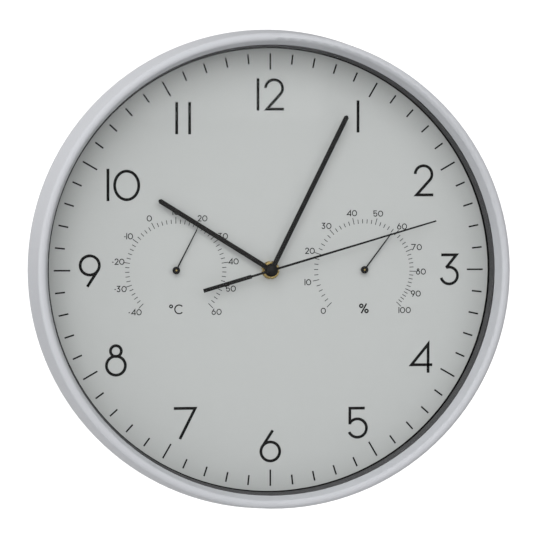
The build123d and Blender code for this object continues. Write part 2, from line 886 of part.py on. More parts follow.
# Rotor: pinion on a slim arbor, with a ring magnet pressed on
rotor_arbor_radius = rotor_module * (rotor_pinion_teeth / 2 - dedendum_share)
rotor_phase = mesh_phase(0, intermediate_wheel_teeth, rotor_pinion_teeth, rotor_direction)
rotor_teeth = gear_face(
    intermediate_back - pinion_overhang,
    rotor_pinion_teeth,
    rotor_module,
    rotor_phase,
    *rotor_place,
)
with BuildPart() as rotor_pinion:
    extrude(rotor_teeth, amount=wheel_thickness + 2 * pinion_overhang)
    arbor(arbor_back, arbor_front, rotor_arbor_radius, *rotor_place)
save(rotor_pinion, "rotor_pinion")

magnet_back = intermediate_back + wheel_thickness + layer_gap
with BuildPart() as rotor_magnet:
    disc(magnet_back, magnet_back + magnet_height, magnet_radius, *rotor_place)
    disc(
        magnet_back - overrun,
        magnet_back + magnet_height + overrun,
        rotor_arbor_radius + press_fit,
        *rotor_place,
        Mode.SUBTRACT,
    )
save(rotor_magnet, "rotor_magnet")

# Setting knob: scalloped disc behind the cover, whose stem and pinion reach the motion wheel
knob_front = movement_back - knob_gap
knob_back = knob_front - knob_thickness
knob_phase = mesh_phase(motion_phase, motion_wheel_teeth, knob_pinion_teeth, knob_direction)
knob_x, knob_up = knob_place
with BuildPart() as set_knob:
    extrude(
        gear_face(motion_back, knob_pinion_teeth, motion_module, knob_phase, *knob_place),
        amount=front_wheel_thickness,
    )
    disc(knob_back, motion_back, knob_stem_radius, *knob_place)
    disc(knob_back, knob_front, knob_radius, *knob_place)
    for turn in range(knob_scallop_count):
        x, up = place(knob_radius, turn * 360 / knob_scallop_count, knob_place)
        disc(knob_back - overrun, knob_front, knob_scallop_radius, x, up, Mode.SUBTRACT)
    block(
        knob_back,
        knob_back + knob_slot_depth,
        knob_x - knob_radius / 2,
        knob_x + knob_radius / 2,
        knob_up - knob_slot_width / 2,
        knob_up + knob_slot_width / 2,
        Mode.SUBTRACT,
    )
save(set_knob, "set_knob")

# Stator: soft iron plate round the magnet, with an arm to each end of the coil's core
rotor_x = rotor_place[0]
with BuildPart() as stator:
    disc(stator_back, stator_front, stator_ring_radius, *rotor_place)
    block(stator_back, stator_front, rotor_x, stator_right, arm_low, arm_low + stator_arm)
    block(
        stator_back,
        stator_front,
        stator_right - stator_tab,
        stator_right,
        arm_low,
        coil_up + core_width / 2,
    )
    block(
        stator_back,
        stator_front,
        rotor_x,
        upper_tab_right,
        coil_up - core_width / 2,
        coil_up + core_width / 2,
    )
    disc(stator_back, stator_front, magnet_radius + magnet_gap, *rotor_place, Mode.SUBTRACT)
save(stator, "stator")

# Coil: core bar across the stator's arms, bobbin and winding
core_front = stator_back
core_back = core_front - core_thickness
core_left = upper_tab_right - stator_tab
bobbin_left = upper_tab_right + bobbin_end_gap
bobbin_right = stator_right - stator_tab - bobbin_end_gap
bobbin_tube_radius = core_width / 2 + bobbin_wall
with BuildPart() as coil_core:
    block(core_back, core_front, core_left, stator_right, coil_up - core_width / 2, coil_up + core_width / 2)
save(coil_core, "coil_core")

coil_plane = Plane(
    origin=(bobbin_left, -coil_height_middle, coil_up - hang_rise),
    x_dir=(0, -1, 0),
    z_dir=(1, 0, 0),
)
bobbin_length = bobbin_right - bobbin_left
with BuildPart() as coil_bobbin:
    with BuildSketch(coil_plane):
        Circle(bobbin_tube_radius)
    extrude(amount=bobbin_length)
    for start in (0, bobbin_length - bobbin_flange_thickness):
        with BuildSketch(coil_plane.offset(start)):
            Circle(bobbin_flange_radius)
        extrude(amount=bobbin_flange_thickness)
    with BuildSketch(coil_plane):
        Rectangle(core_thickness + 2 * bobbin_clearance, core_width + 2 * bobbin_clearance)
    extrude(amount=bobbin_length, mode=Mode.SUBTRACT)
save(coil_bobbin, "coil_bobbin")

with BuildPart() as coil_winding:
    with BuildSketch(coil_plane.offset(bobbin_flange_thickness)):
        Circle(bobbin_flange_radius - winding_inset)
        Circle(bobbin_tube_radius, mode=Mode.SUBTRACT)
    extrude(amount=bobbin_length - 2 * bobbin_flange_thickness)
save(coil_winding, "coil_winding")

# Circuit: board on the middle plate's posts, with the crystal's can and the sealed chip
circuit_high = circuit_low + circuit_length
with BuildPart() as circuit_board:
    block(circuit_back, circuit_front, circuit_left, circuit_right, circuit_low, circuit_high)
save(circuit_board, "circuit_board")

crystal_plane = Plane(
    origin=(circuit_middle, -circuit_back + crystal_radius, circuit_high - crystal_inset - hang_rise),
    x_dir=(1, 0, 0),
    z_dir=(0, 0, -1),
)
with BuildPart() as quartz_crystal:
    with BuildSketch(crystal_plane):
        Circle(crystal_radius)
    extrude(amount=crystal_length)
save(quartz_crystal, "quartz_crystal")

chip_radius = chip_radius_share * (circuit_right - circuit_left)
with BuildPart() as chip_blob:
    disc(circuit_back - chip_height, circuit_back, chip_radius, circuit_middle, circuit_low + chip_inset)
    fillet(chip_blob.faces().sort_by(Axis.Y)[-1].edges(), chip_round)
save(chip_blob, "chip_blob")

# Battery cell and its two contacts
cell_height = movement_back + cell_depth_room + cell_radius
positive_inner = bay_side - contact_thickness
cell_right = positive_inner - cell_nub_length
cell_left = cell_right - cell_length
negative_inner = -bay_side + contact_thickness


def bay_plane(x):
    """Plane across the battery bay, facing +X, on the cell's axis."""
    return Plane(origin=(x, -cell_height, cell_up - hang_rise), x_dir=(0, -1, 0), z_dir=(1, 0, 0))


with BuildPart() as battery_cell:
    with BuildSketch(bay_plane(cell_left)):
        Circle(cell_radius)
    extrude(amount=cell_length)
    fillet(battery_cell.edges().filter_by(GeomType.CIRCLE), cell_edge_round)
    with BuildSketch(bay_plane(cell_right)):
        Circle(cell_nub_radius)
    extrude(amount=cell_nub_length)
save(battery_cell, "battery_cell")

with BuildPart() as positive_contact:
    with BuildSketch(bay_plane(positive_inner)):
        Rectangle(contact_height, contact_width)
    extrude(amount=contact_thickness)
save(positive_contact, "positive_contact")

with BuildPart() as negative_contact:
    with BuildSketch(bay_plane(-bay_side)):
        Rectangle(contact_height, contact_width)
    extrude(amount=contact_thickness)
    with BuildSketch(bay_plane(negative_inner)):
        Circle(contact_spring_radius)
    with BuildSketch(bay_plane(cell_left)):
        Circle(contact_spring_tip_radius)
    loft()
save(negative_contact, "negative_contact")


def baton_hand(back, angle, length, width, bore):
    """Flat hand with parallel sides, a tip with cut corners and a round hub."""
    cut = hand_tip_share * width
    with BuildPart() as hand:
        with BuildSketch(turned_plane(back, angle)):
            with BuildLine():
                Polyline(
                    (-width / 2, 0),
                    (-width / 2, length - cut),
                    (-width / 2 + cut, length),
                    (width / 2 - cut, length),
                    (width / 2, length - cut),
                    (width / 2, 0),
                    close=True,
                )
            make_face()
            Circle(hand_hub_radius)
            Circle(bore, mode=Mode.SUBTRACT)
        extrude(amount=hand_thickness)
    return hand


def hand_collet(back, front, bore, wall):
    """Short tube that grips a hand on its pipe."""
    with BuildPart() as collet:
        disc(back, front, bore + wall)
        disc(back - overrun, front + overrun, bore, mode=Mode.SUBTRACT)
    return collet


# Hour and minute hands with their collets
save(
    baton_hand(hour_hand_back, hour_hand_angle, hour_hand_length, hour_hand_width, hour_bore + collet_wall),
    "hour_hand",
)
save(hand_collet(hour_hand_back - collet_below, hour_tube_front, hour_bore, collet_wall), "hour_hand_collet")
save(
    baton_hand(
        minute_hand_back,
        minute_hand_angle,
        minute_hand_length,
        minute_hand_width,
        minute_bore + collet_wall,
    ),
    "minute_hand",
)
save(
    hand_collet(minute_hand_back - collet_below, minute_tube_front, minute_bore, collet_wall),
    "minute_hand_collet",
)

# Second hand: slim taper in front, bar-shaped counterweight behind, tube and domed cap
second_bore = second_arbor_radius + press_fit
second_tube_radius = second_bore + second_tube_wall
with BuildPart() as second_hand:
    with BuildSketch(turned_plane(second_hand_back, second_hand_angle)):
        with BuildLine():
            Polyline(
                (-second_hand_root_width / 2, -counterweight_start),
                (-second_hand_root_width / 2, 0),
                (-second_hand_tip_width / 2, second_hand_length),
                (second_hand_tip_width / 2, second_hand_length),
                (second_hand_root_width / 2, 0),
                (second_hand_root_width / 2, -counterweight_start),
                (counterweight_width / 2, -counterweight_start),
                (counterweight_width / 2, -counterweight_end),
                (-counterweight_width / 2, -counterweight_end),
                (-counterweight_width / 2, -counterweight_start),
                close=True,
            )
        make_face()
        Circle(second_cap_radius - second_hand_thickness)
        Circle(second_tube_radius, mode=Mode.SUBTRACT)
    extrude(amount=second_hand_thickness)
save(second_hand, "second_hand")
save(
    hand_collet(second_hand_back - second_tube_below, second_hand_front, second_bore, second_tube_wall),
    "second_hand_tube",
)

cap_shoulder = second_hand_front + second_cap_shoulder_share * second_cap_height
cap_rise = cap_front - cap_shoulder
cap_dome_radius = (second_cap_radius**2 + cap_rise**2) / (2 * cap_rise)
cap_dome_angle = degrees(asin(second_cap_radius / cap_dome_radius))
with BuildPart() as second_hand_cap:
    with BuildSketch(profile_plane()):
        with BuildLine():
            Polyline(
                (0, cap_front),
                (0, second_hand_front),
                (second_cap_radius, second_hand_front),
                (second_cap_radius, cap_shoulder),
            )
            CenterArc((0, cap_front - cap_dome_radius), cap_dome_radius, 90 - cap_dome_angle, cap_dome_angle)
        make_face()
    revolve(axis=turning_axis())
    disc(second_hand_front - overrun, second_arbor_front, second_bore, mode=Mode.SUBTRACT)
save(second_hand_cap, "second_hand_cap")

# Thermometer and hygrometer: frame behind the board, arbor, coil, pointer and hub
instrument_plate_back = board_back - instrument_plate_thickness
coil_front = instrument_plate_back - coil_gap_below
coil_back = coil_front - coil_height
bridge_front = coil_back - coil_rear_room
bridge_back = bridge_front - bridge_thickness
bridge_pillar_offset = instrument_plate_radius - bridge_pillar_radius - bridge_pillar_edge
coil_radius = bridge_pillar_offset - bridge_pillar_radius - coil_strip / 2 - coil_side_room
coil_inner = coil_collet_radius + coil_collet_gap + coil_strip / 2
coil_pitch = (coil_radius - coil_inner) / coil_turns
pointer_back = dial_height + pointer_rise
pointer_hub_back = pointer_back + pointer_thickness
pointer_hub_front = pointer_hub_back + pointer_hub_height


def instrument_frame(centre):
    """Base plate with two pillars, a bridge for the rear pivot and a post for the coil's outer end."""
    with BuildPart() as frame:
        disc(instrument_plate_back, board_back, instrument_plate_radius, centre)
        for side in (-1, 1):
            pillar_up = side * bridge_pillar_offset
            disc(bridge_front, instrument_plate_back, bridge_pillar_radius, centre, pillar_up)
        with BuildSketch(face_plane(bridge_back, centre)):
            SlotOverall(2 * bridge_pillar_offset + bridge_width, bridge_width, rotation=90)
        extrude(amount=bridge_thickness)
        block(
            coil_back - coil_post_spare,
            instrument_plate_back,
            centre + coil_radius - coil_post_size / 2,
            centre + coil_radius + coil_post_size / 2,
            0,
            coil_post_size,
        )
        disc(
            instrument_plate_back - overrun,
            board_back + overrun,
            instrument_arbor_radius + pivot_fit,
            centre,
            mode=Mode.SUBTRACT,
        )
        disc(
            bridge_back - overrun,
            bridge_front + overrun,
            instrument_pivot_radius + pivot_fit,
            centre,
            mode=Mode.SUBTRACT,
        )
        for angle in instrument_screw_angles:
            x, up = place(instrument_screw_circle, angle, (centre, 0))
            disc(
                instrument_plate_back - overrun,
                board_back + overrun,
                small_screw_radius + screw_fit,
                x,
                up,
                Mode.SUBTRACT,
            )
    return frame


def instrument_arbor(centre):
    """Arbor with a rear pivot and a collet in the middle of the coil; its front end shows on the dial."""
    with BuildPart() as spindle:
        disc(bridge_front + end_shake, pointer_hub_front + pointer_pin_proud, instrument_arbor_radius, centre)
        disc(bridge_back, bridge_front + end_shake, instrument_pivot_radius, centre)
        disc(coil_back, coil_front, coil_collet_radius, centre)
    return spindle


def instrument_coil(centre):
    """Flat strip wound into a spiral of half circles, from the arbor's collet out to the frame's post."""
    radii = [coil_inner + half_turn * coil_pitch / 2 for half_turn in range(2 * coil_turns + 1)]
    with BuildPart() as coil:
        with BuildSketch(face_plane(coil_back, centre)):
            with BuildLine() as spiral:
                for half_turn in range(2 * coil_turns):
                    side = 1 if half_turn % 2 == 0 else -1
                    start, end = radii[half_turn], radii[half_turn + 1]
                    middle = (side * (start - end) / 2, side * (start + end) / 2)
                    ThreePointArc((side * start, 0), middle, (-side * end, 0))
            trace(spiral.line, coil_strip)
        extrude(amount=coil_height)
    return coil


def instrument_pointer(centre, angle):
    """Slim tapered pointer with a ring round the arbor."""
    with BuildPart() as pointer:
        with BuildSketch(turned_plane(pointer_back, angle, centre)):
            with BuildLine():
                Polyline(
                    (-pointer_root_width / 2, 0),
                    (-pointer_tip_width / 2, pointer_length),
                    (pointer_tip_width / 2, pointer_length),
                    (pointer_root_width / 2, 0),
                    close=True,
                )
            make_face()
            Circle(pointer_ring_radius)
            Circle(instrument_arbor_radius + press_fit, mode=Mode.SUBTRACT)
        extrude(amount=pointer_thickness)
    return pointer


def instrument_hub(centre):
    """Round boss that holds the pointer on its arbor."""
    with BuildPart() as hub:
        disc(pointer_hub_back, pointer_hub_front, pointer_hub_radius, centre)
        disc(
            pointer_hub_back - overrun,
            pointer_hub_front + overrun,
            instrument_arbor_radius + press_fit,
            centre,
            mode=Mode.SUBTRACT,
        )
    return hub


instruments = (
    ("thermometer", -instrument_offset, thermometer_angle),
    ("hygrometer", instrument_offset, hygrometer_angle),
)
for kind, centre, angle in instruments:
    save(instrument_frame(centre), f"{kind}_frame")
    save(instrument_arbor(centre), f"{kind}_arbor")
    save(instrument_coil(centre), f"{kind}_coil")
    save(instrument_pointer(centre, angle), f"{kind}_pointer")
    save(instrument_hub(centre), f"{kind}_hub")
print(f"least gap between turns of a coil: {coil_pitch - coil_strip:.2f} mm")

instrument_screws = screw_group(
    instrument_screw_places,
    instrument_plate_back,
    small_screw_radius,
    small_screw_head_radius,
    small_screw_head_height,
    instrument_plate_thickness + small_screw_reach,
)
save(instrument_screws, "instrument_screws")
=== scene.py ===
"""Wall clock with thermometer and hygrometer: prints the dial, dresses each piece and lights the studio.

Lengths are in millimetres and places on the dial are (right of the clock axis, above it, distance in front of
the wall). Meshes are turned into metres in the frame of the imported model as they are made.
"""
import logging
from dataclasses import dataclass, field
from enum import Enum
from math import acos, atan2, cos, degrees, hypot, pi, radians, sin
from typing import Sequence

import bpy
import numpy as np
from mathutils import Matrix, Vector
from numpy.typing import NDArray


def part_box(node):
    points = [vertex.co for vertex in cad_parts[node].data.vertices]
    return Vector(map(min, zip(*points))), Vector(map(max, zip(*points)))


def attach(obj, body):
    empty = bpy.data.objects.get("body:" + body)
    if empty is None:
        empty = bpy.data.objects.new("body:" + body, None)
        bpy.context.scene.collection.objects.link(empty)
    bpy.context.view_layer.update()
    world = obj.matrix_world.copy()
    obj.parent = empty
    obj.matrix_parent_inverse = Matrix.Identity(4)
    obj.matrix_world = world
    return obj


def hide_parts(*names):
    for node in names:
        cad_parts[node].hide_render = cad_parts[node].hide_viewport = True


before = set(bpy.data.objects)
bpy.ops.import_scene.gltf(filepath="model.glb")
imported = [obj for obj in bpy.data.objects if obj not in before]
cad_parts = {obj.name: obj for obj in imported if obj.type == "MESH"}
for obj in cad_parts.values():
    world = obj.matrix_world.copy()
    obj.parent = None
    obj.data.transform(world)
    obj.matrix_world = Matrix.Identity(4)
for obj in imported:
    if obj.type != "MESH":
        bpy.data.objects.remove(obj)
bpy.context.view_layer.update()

log = logging.getLogger("wall_clock")

MM = 0.001

Array = NDArray[np.float64]
Point = tuple[float, float]
Spread = tuple[float, float]
Place = tuple[float, float, float]
Colour = tuple[float, float, float]


class Slot(str, Enum):
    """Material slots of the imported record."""

    HAND = "hand_black"
    MOVEMENT = "movement_plastic"
    CELL = "cell_jacket"
    SPRING = "spring_steel"


class Facing(Enum):
    """Side of the clock that a flat raised shape faces."""

    FRONT = 1
    BACK = -1


@dataclass(frozen=True)
class ClockAxis:
    """Place of the clock axis and of the dial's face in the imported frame, in millimetres."""

    up: float
    dial_height: float

    @classmethod
    def from_frame(cls) -> "ClockAxis":
        """Reads the axis from the dial sheet's box."""
        low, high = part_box("dial_sheet")
        return cls(up=(low.z + high.z) / 2 / MM, dial_height=-low.y / MM)

    def to_frame(self, corners: Array, facing: Facing = Facing.FRONT) -> Array:
        """Turns (right, up, height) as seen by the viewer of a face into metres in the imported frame.

        Args:
            corners: Points, three numbers each, in millimetres. Height grows towards the viewer of the face.
            facing: Side that the face looks to.

        Returns:
            Points in metres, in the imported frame.
        """
        right, up, height = corners.T
        return MM * np.column_stack((facing.value * right, -facing.value * height, up + self.up))


@dataclass(frozen=True)
class Solid:
    """Closed mesh as arrays: corners, four-cornered faces and three-cornered faces."""

    corners: Array
    quads: NDArray[np.int64]
    triangles: NDArray[np.int64] = field(default_factory=lambda: np.zeros((0, 3), dtype=np.int64))

    @staticmethod
    def joined(solids: Sequence["Solid"]) -> "Solid":
        """Puts several solids into one mesh, each still closed in itself.

        Args:
            solids: Meshes to put together.

        Returns:
            One mesh with all their corners and faces.
        """
        starts = np.cumsum([0] + [len(solid.corners) for solid in solids[:-1]])
        return Solid(
            np.vstack([solid.corners for solid in solids]),
            np.vstack([solid.quads + start for solid, start in zip(solids, starts)]),
            np.vstack([solid.triangles + start for solid, start in zip(solids, starts)]),
        )


def make_piece(
    name: str,
    corners: Array,
    solid: Solid,
    material: bpy.types.Material,
    body: str,
    smooth_angle: float = 0.0,
) -> bpy.types.Object:
    """Makes a mesh object of a closed shape, gives it its finish and lets it ride on a body.

    Args:
        name: Name of the piece.
        corners: Corners in metres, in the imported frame.
        solid: Faces of the shape.
        material: Finish of the whole piece.
        body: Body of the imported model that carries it.
        smooth_angle: Edges that turn by less than this many degrees are shaded smooth; 0 leaves all flat.

    Returns:
        The new object.
    """
    mesh = bpy.data.meshes.new(name)
    mesh.from_pydata(corners.tolist(), [], solid.quads.tolist() + solid.triangles.tolist())
    if smooth_angle:
        mesh.polygons.foreach_set("use_smooth", np.ones(len(mesh.polygons), dtype=bool))
        mesh.set_sharp_from_angle(angle=radians(smooth_angle))
    mesh.materials.append(material)
    mesh.update()
    piece = bpy.data.objects.new(name, mesh)
    bpy.context.scene.collection.objects.link(piece)
    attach(piece, body)
    log.info("%s: %d faces", name, len(mesh.polygons))
    return piece


# Pen strokes


@dataclass(frozen=True)
class Stroke:
    """Centre line of one pen stroke, with its ends cut square."""

    line: Array
    closed: bool = False

    def placed(self, size: float, shift: Point) -> "Stroke":
        """Returns the stroke enlarged to a size and then shifted."""
        return Stroke(self.line * size + np.array(shift), self.closed)


MITRE_LIMIT = 3.2


def stroke_edges(stroke: Stroke, pen: float) -> tuple[Array, Array]:
    """Left and right edge of a pen stroke.

    At each point of the centre line the edges lie half a pen away along the sum of the two runs' unit
    normals, divided by one plus their dot product, which is where the two offset runs meet. The mitre limit
    keeps a sharp corner from reaching too far.

    Args:
        stroke: Centre line.
        pen: Width of the stroke.

    Returns:
        Points of the left and of the right edge, as many as the centre line has.
    """
    line = stroke.line
    ahead = np.roll(line, -1, axis=0) - line if stroke.closed else np.diff(line, axis=0)
    ahead = ahead / np.linalg.norm(ahead, axis=1, keepdims=True)
    before = np.roll(ahead, 1, axis=0) if stroke.closed else np.vstack((ahead[:1], ahead))
    after = ahead if stroke.closed else np.vstack((ahead, ahead[-1:]))
    normals = [np.column_stack((-way[:, 1], way[:, 0])) for way in (before, after)]
    meeting = (normals[0] + normals[1]) / (1 + (normals[0] * normals[1]).sum(axis=1, keepdims=True))
    reach = np.linalg.norm(meeting, axis=1, keepdims=True)
    offset = meeting * np.minimum(1, MITRE_LIMIT / reach) * pen / 2
    return line + offset, line - offset


def stroke_slab(stroke: Stroke, pen: float, low: float, high: float) -> Solid:
    """Closed slab of a pen stroke between two heights.

    Args:
        stroke: Centre line.
        pen: Width of the stroke.
        low: Height of its underside.
        high: Height of its face.

    Returns:
        Mesh of the face, the underside, both edges and, for an open stroke, both ends.
    """
    left, right = stroke_edges(stroke, pen)
    count = len(left)
    rows = [(right, low), (right, high), (left, low), (left, high)]
    corners = np.vstack([np.column_stack((edge, np.full(count, height))) for edge, height in rows])
    right_low, right_high, left_low, left_high = (np.arange(count) + row * count for row in range(len(rows)))
    here = np.arange(count if stroke.closed else count - 1)
    there = (here + 1) % count
    quads = [
        np.column_stack((right_high[here], right_high[there], left_high[there], left_high[here])),
        np.column_stack((left_low[here], left_low[there], right_low[there], right_low[here])),
        np.column_stack((left_low[here], left_high[here], left_high[there], left_low[there])),
        np.column_stack((right_low[here], right_low[there], right_high[there], right_high[here])),
    ]
    if not stroke.closed:
        quads.append(np.array([[left_low[0], right_low[0], right_high[0], left_high[0]]]))
        quads.append(np.array([[right_low[-1], left_low[-1], left_high[-1], right_high[-1]]]))
    return Solid(corners, np.vstack(quads))


ARC_STEP = 5.0


def arc(centre: Point, radius: float, start: float, end: float, tall: float = 1.0) -> Array:
    """Points of an arc: the centre plus the radius times cosine and sine of evenly spaced angles.

    Args:
        centre: Middle of the arc.
        radius: Radius to the side.
        start: First angle in degrees, counter-clockwise from the right.
        end: Last angle in degrees.
        tall: Height of the arc as a share of its width.

    Returns:
        Points from start to end.
    """
    count = max(3, round(abs(end - start) / ARC_STEP) + 1)
    angle = np.radians(np.linspace(start, end, count))
    return np.column_stack((centre[0] + radius * np.cos(angle), centre[1] + tall * radius * np.sin(angle)))


def ring(centre: Point, radius: float, tall: float = 1.0) -> Stroke:
    """Closed round stroke."""
    return Stroke(arc(centre, radius, 0, 360, tall)[:-1], closed=True)


def tangent_angle(point: Point, centre: Point, radius: float, turn: float) -> float:
    """Angle on a circle of the point where a straight run from outside touches it.

    Args:
        point: Outer end of the run.
        centre: Middle of the circle.
        radius: Its radius.
        turn: 1 for the touching point counter-clockwise of the outer end, -1 for the other one.

    Returns:
        Angle in degrees.
    """
    right, up = point[0] - centre[0], point[1] - centre[1]
    return degrees(atan2(up, right)) + turn * degrees(acos(radius / hypot(right, up)))


def run(*points: Point) -> Stroke:
    """Stroke of straight runs through points."""
    return Stroke(np.array(points, dtype=float))


@dataclass(frozen=True)
class PenFace:
    """Numerals and signs drawn with a pen of even width, in shares of the character height.

    Each character stands on the base line and is given by the centre lines of its strokes.
    """

    pen_share: float = 0.089
    two_round_share: float = 0.311
    two_foot_share: float = 0.222
    two_start_angle: float = 178.0
    three_round_share: float = 0.308
    three_bar_left_share: float = 0.255
    three_bar_right_share: float = 0.227
    three_start_angle: float = 112.0
    three_end_angle: float = -165.0
    four_bar_up_share: float = 0.253
    four_bar_left_share: float = 0.530
    four_bar_right_share: float = 0.134
    four_top_share: float = 0.900
    five_round_share: float = 0.332
    five_stem_share: float = 0.238
    five_bar_share: float = 0.236
    five_end_angle: float = -155.0
    six_round_share: float = 0.340
    six_stem_share: float = 0.078
    seven_bar_left_share: float = 0.189
    seven_bar_right_share: float = 0.480
    eight_top_round_share: float = 0.212
    eight_low_round_share: float = 0.337
    nought_width_share: float = 0.835
    nought_height_share: float = 0.970
    dash_share: float = 0.24
    dash_up_share: float = 0.42
    degree_round_share: float = 0.20
    letter_round_share: float = 0.50
    letter_open_angle: float = 42.0
    percent_round_share: float = 0.235
    percent_spread_share: float = 0.27
    gap_share: float = 0.20

    @property
    def half(self) -> float:
        """Half of the pen's width."""
        return self.pen_share / 2

    def nought(self) -> list[Stroke]:
        """Upright oval."""
        radius = self.nought_width_share / 2 - self.half
        rise = self.nought_height_share / 2
        return [ring((0, rise), radius, (rise - self.half) / radius)]

    def one(self) -> list[Stroke]:
        """Plain upright."""
        return [run((0, 0), (0, 1))]

    def two(self) -> list[Stroke]:
        """Round top that runs into a slant and a flat base."""
        radius, centre = self.two_round_share - self.half, (0, 1 - self.two_round_share)
        foot = (-self.two_foot_share, self.half)
        top = arc(centre, radius, self.two_start_angle, tangent_angle(foot, centre, radius, 1))
        return [Stroke(np.vstack((top, foot, (self.two_round_share, self.half))))]

    def three(self) -> list[Stroke]:
        """Flat top and slant, with a round bowl below."""
        radius, centre = self.three_round_share - self.half, (0, self.three_round_share)
        bowl = arc(centre, radius, self.three_start_angle, self.three_end_angle)
        top = 1 - self.half
        corner = (self.three_bar_right_share, top)
        return [run((-self.three_bar_left_share, top), corner, tuple(bowl[0])), Stroke(bowl)]

    def four(self) -> list[Stroke]:
        """Bar, slant and upright in one stroke."""
        bar = self.four_bar_up_share
        return [
            run(
                (self.four_bar_right_share, bar),
                (-self.four_bar_left_share, bar),
                (0, self.four_top_share),
                (0, 0),
            )
        ]

    def five(self) -> list[Stroke]:
        """Flat top and short upright, with a round bowl below."""
        radius, centre = self.five_round_share - self.half, (0, self.five_round_share)
        start = 180 - degrees(acos(self.five_stem_share / radius))
        bowl = arc(centre, radius, start, self.five_end_angle)
        top, stem = 1 - self.half, -self.five_stem_share
        return [run((self.five_bar_share, top), (stem, top), (stem, bowl[0, 1] - self.half)), Stroke(bowl)]

    def six(self) -> list[Stroke]:
        """Circle with a straight slant that touches its left side."""
        radius, centre = self.six_round_share - self.half, (0, self.six_round_share)
        tip = (self.six_stem_share, 1)
        touch = arc(centre, radius, tangent_angle(tip, centre, radius, 1), 180)
        return [Stroke(np.vstack((touch[1::-1], tip))), ring(centre, radius)]

    def seven(self) -> list[Stroke]:
        """Flat top and a slant to the base line."""
        top = 1 - self.half
        return [run((-self.seven_bar_left_share, top), (self.seven_bar_right_share, top), (0, 0))]

    def eight(self) -> list[Stroke]:
        """Small circle on a large one."""
        return [
            ring((0, share if low else 1 - share), share - self.half)
            for low, share in ((True, self.eight_low_round_share), (False, self.eight_top_round_share))
        ]

    def nine(self) -> list[Stroke]:
        """The six turned upside down."""
        return [Stroke(np.array((0, 1)) - stroke.line, stroke.closed) for stroke in self.six()]

    def dash(self) -> list[Stroke]:
        """Short bar for a value below zero."""
        return [run((-self.dash_share / 2, self.dash_up_share), (self.dash_share / 2, self.dash_up_share))]

    def degree(self) -> list[Stroke]:
        """Small high ring."""
        radius = self.degree_round_share
        return [ring((0, 1 - radius), radius - self.half)]

    def celsius(self) -> list[Stroke]:
        """Round letter open to the right."""
        rise, opening = self.letter_round_share, self.letter_open_angle
        return [Stroke(arc((0, rise), rise - self.half, opening, 360 - opening))]

    def percent(self) -> list[Stroke]:
        """Two small rings with a slant between them."""
        radius, spread = self.percent_round_share, self.percent_spread_share
        return [
            ring((-spread, 1 - radius), radius - self.half),
            ring((spread, radius), radius - self.half),
            run((-spread, 0), (spread, 1)),
        ]

    def character(self, sign: str) -> list[Stroke]:
        """Strokes of one numeral or sign.

        Args:
            sign: One of the digits, a minus, a degree, the letter C or a percent sign.

        Returns:
            Its strokes on the base line.
        """
        drawn = {
            "0": self.nought, "1": self.one, "2": self.two, "3": self.three, "4": self.four,
            "5": self.five, "6": self.six, "7": self.seven, "8": self.eight, "9": self.nine,
            "-": self.dash, "°": self.degree, "C": self.celsius, "%": self.percent,
        }
        return drawn[sign]()

    def word(self, signs: str, gap_share: float | None = None) -> list[Stroke]:
        """Strokes of several characters side by side, centred on the origin.

        Args:
            signs: Characters from left to right.
            gap_share: Space between them, or None for the face's own.

        Returns:
            All their strokes, for a character height of one.
        """
        gap = self.gap_share if gap_share is None else gap_share
        strokes, reach = [], 0.0
        for sign in signs:
            drawn = self.character(sign)
            edges = np.vstack([edge for stroke in drawn for edge in stroke_edges(stroke, self.pen_share)])
            left, right = edges[:, 0].min(), edges[:, 0].max()
            strokes += [stroke.placed(1, (reach - left, 0)) for stroke in drawn]
            reach += right - left + gap
        return [stroke.placed(1, (-(reach - gap) / 2, -0.5)) for stroke in strokes]


# Turned shapes and wire


TURN_STEPS = 96
WIRE_STEPS = 12


def closed_tube(rows: Array, first: Sequence[float], last: Sequence[float]) -> Solid:
    """Tube over rows of points, with a fan of triangles to a middle point at each end.

    Args:
        rows: Closed rows of points round the tube, from its first end to its last.
        first: Middle of the first end.
        last: Middle of the last end.

    Returns:
        Closed mesh.
    """
    count, steps = rows.shape[:2]
    corners = np.vstack((rows.reshape(-1, 3), first, last))
    index = np.arange(count * steps).reshape(count, steps)
    beside = np.roll(index, -1, axis=1)
    quads = np.stack((index[:-1], beside[:-1], beside[1:], index[1:]), axis=-1).reshape(-1, 4)
    fans = [
        np.column_stack((beside[0], index[0], np.full(steps, index.size))),
        np.column_stack((index[-1], beside[-1], np.full(steps, index.size + 1))),
    ]
    return Solid(corners, quads, np.vstack(fans))


def turned(profile: Array) -> Solid:
    """Shape turned about the first axis: each profile point (along, radius) goes round with cosine and sine.

    Args:
        profile: Points from one end of the axis to the other; the first and the last lie on the axis.

    Returns:
        Closed mesh. Corners are (along, across, up).
    """
    angle = np.linspace(0, 2 * pi, TURN_STEPS, endpoint=False)
    along, radius = profile[1:-1].T[:, :, None]
    rows = np.stack(np.broadcast_arrays(along, radius * np.cos(angle), radius * np.sin(angle)), axis=-1)
    return closed_tube(rows, (profile[0, 0], 0, 0), (profile[-1, 0], 0, 0))


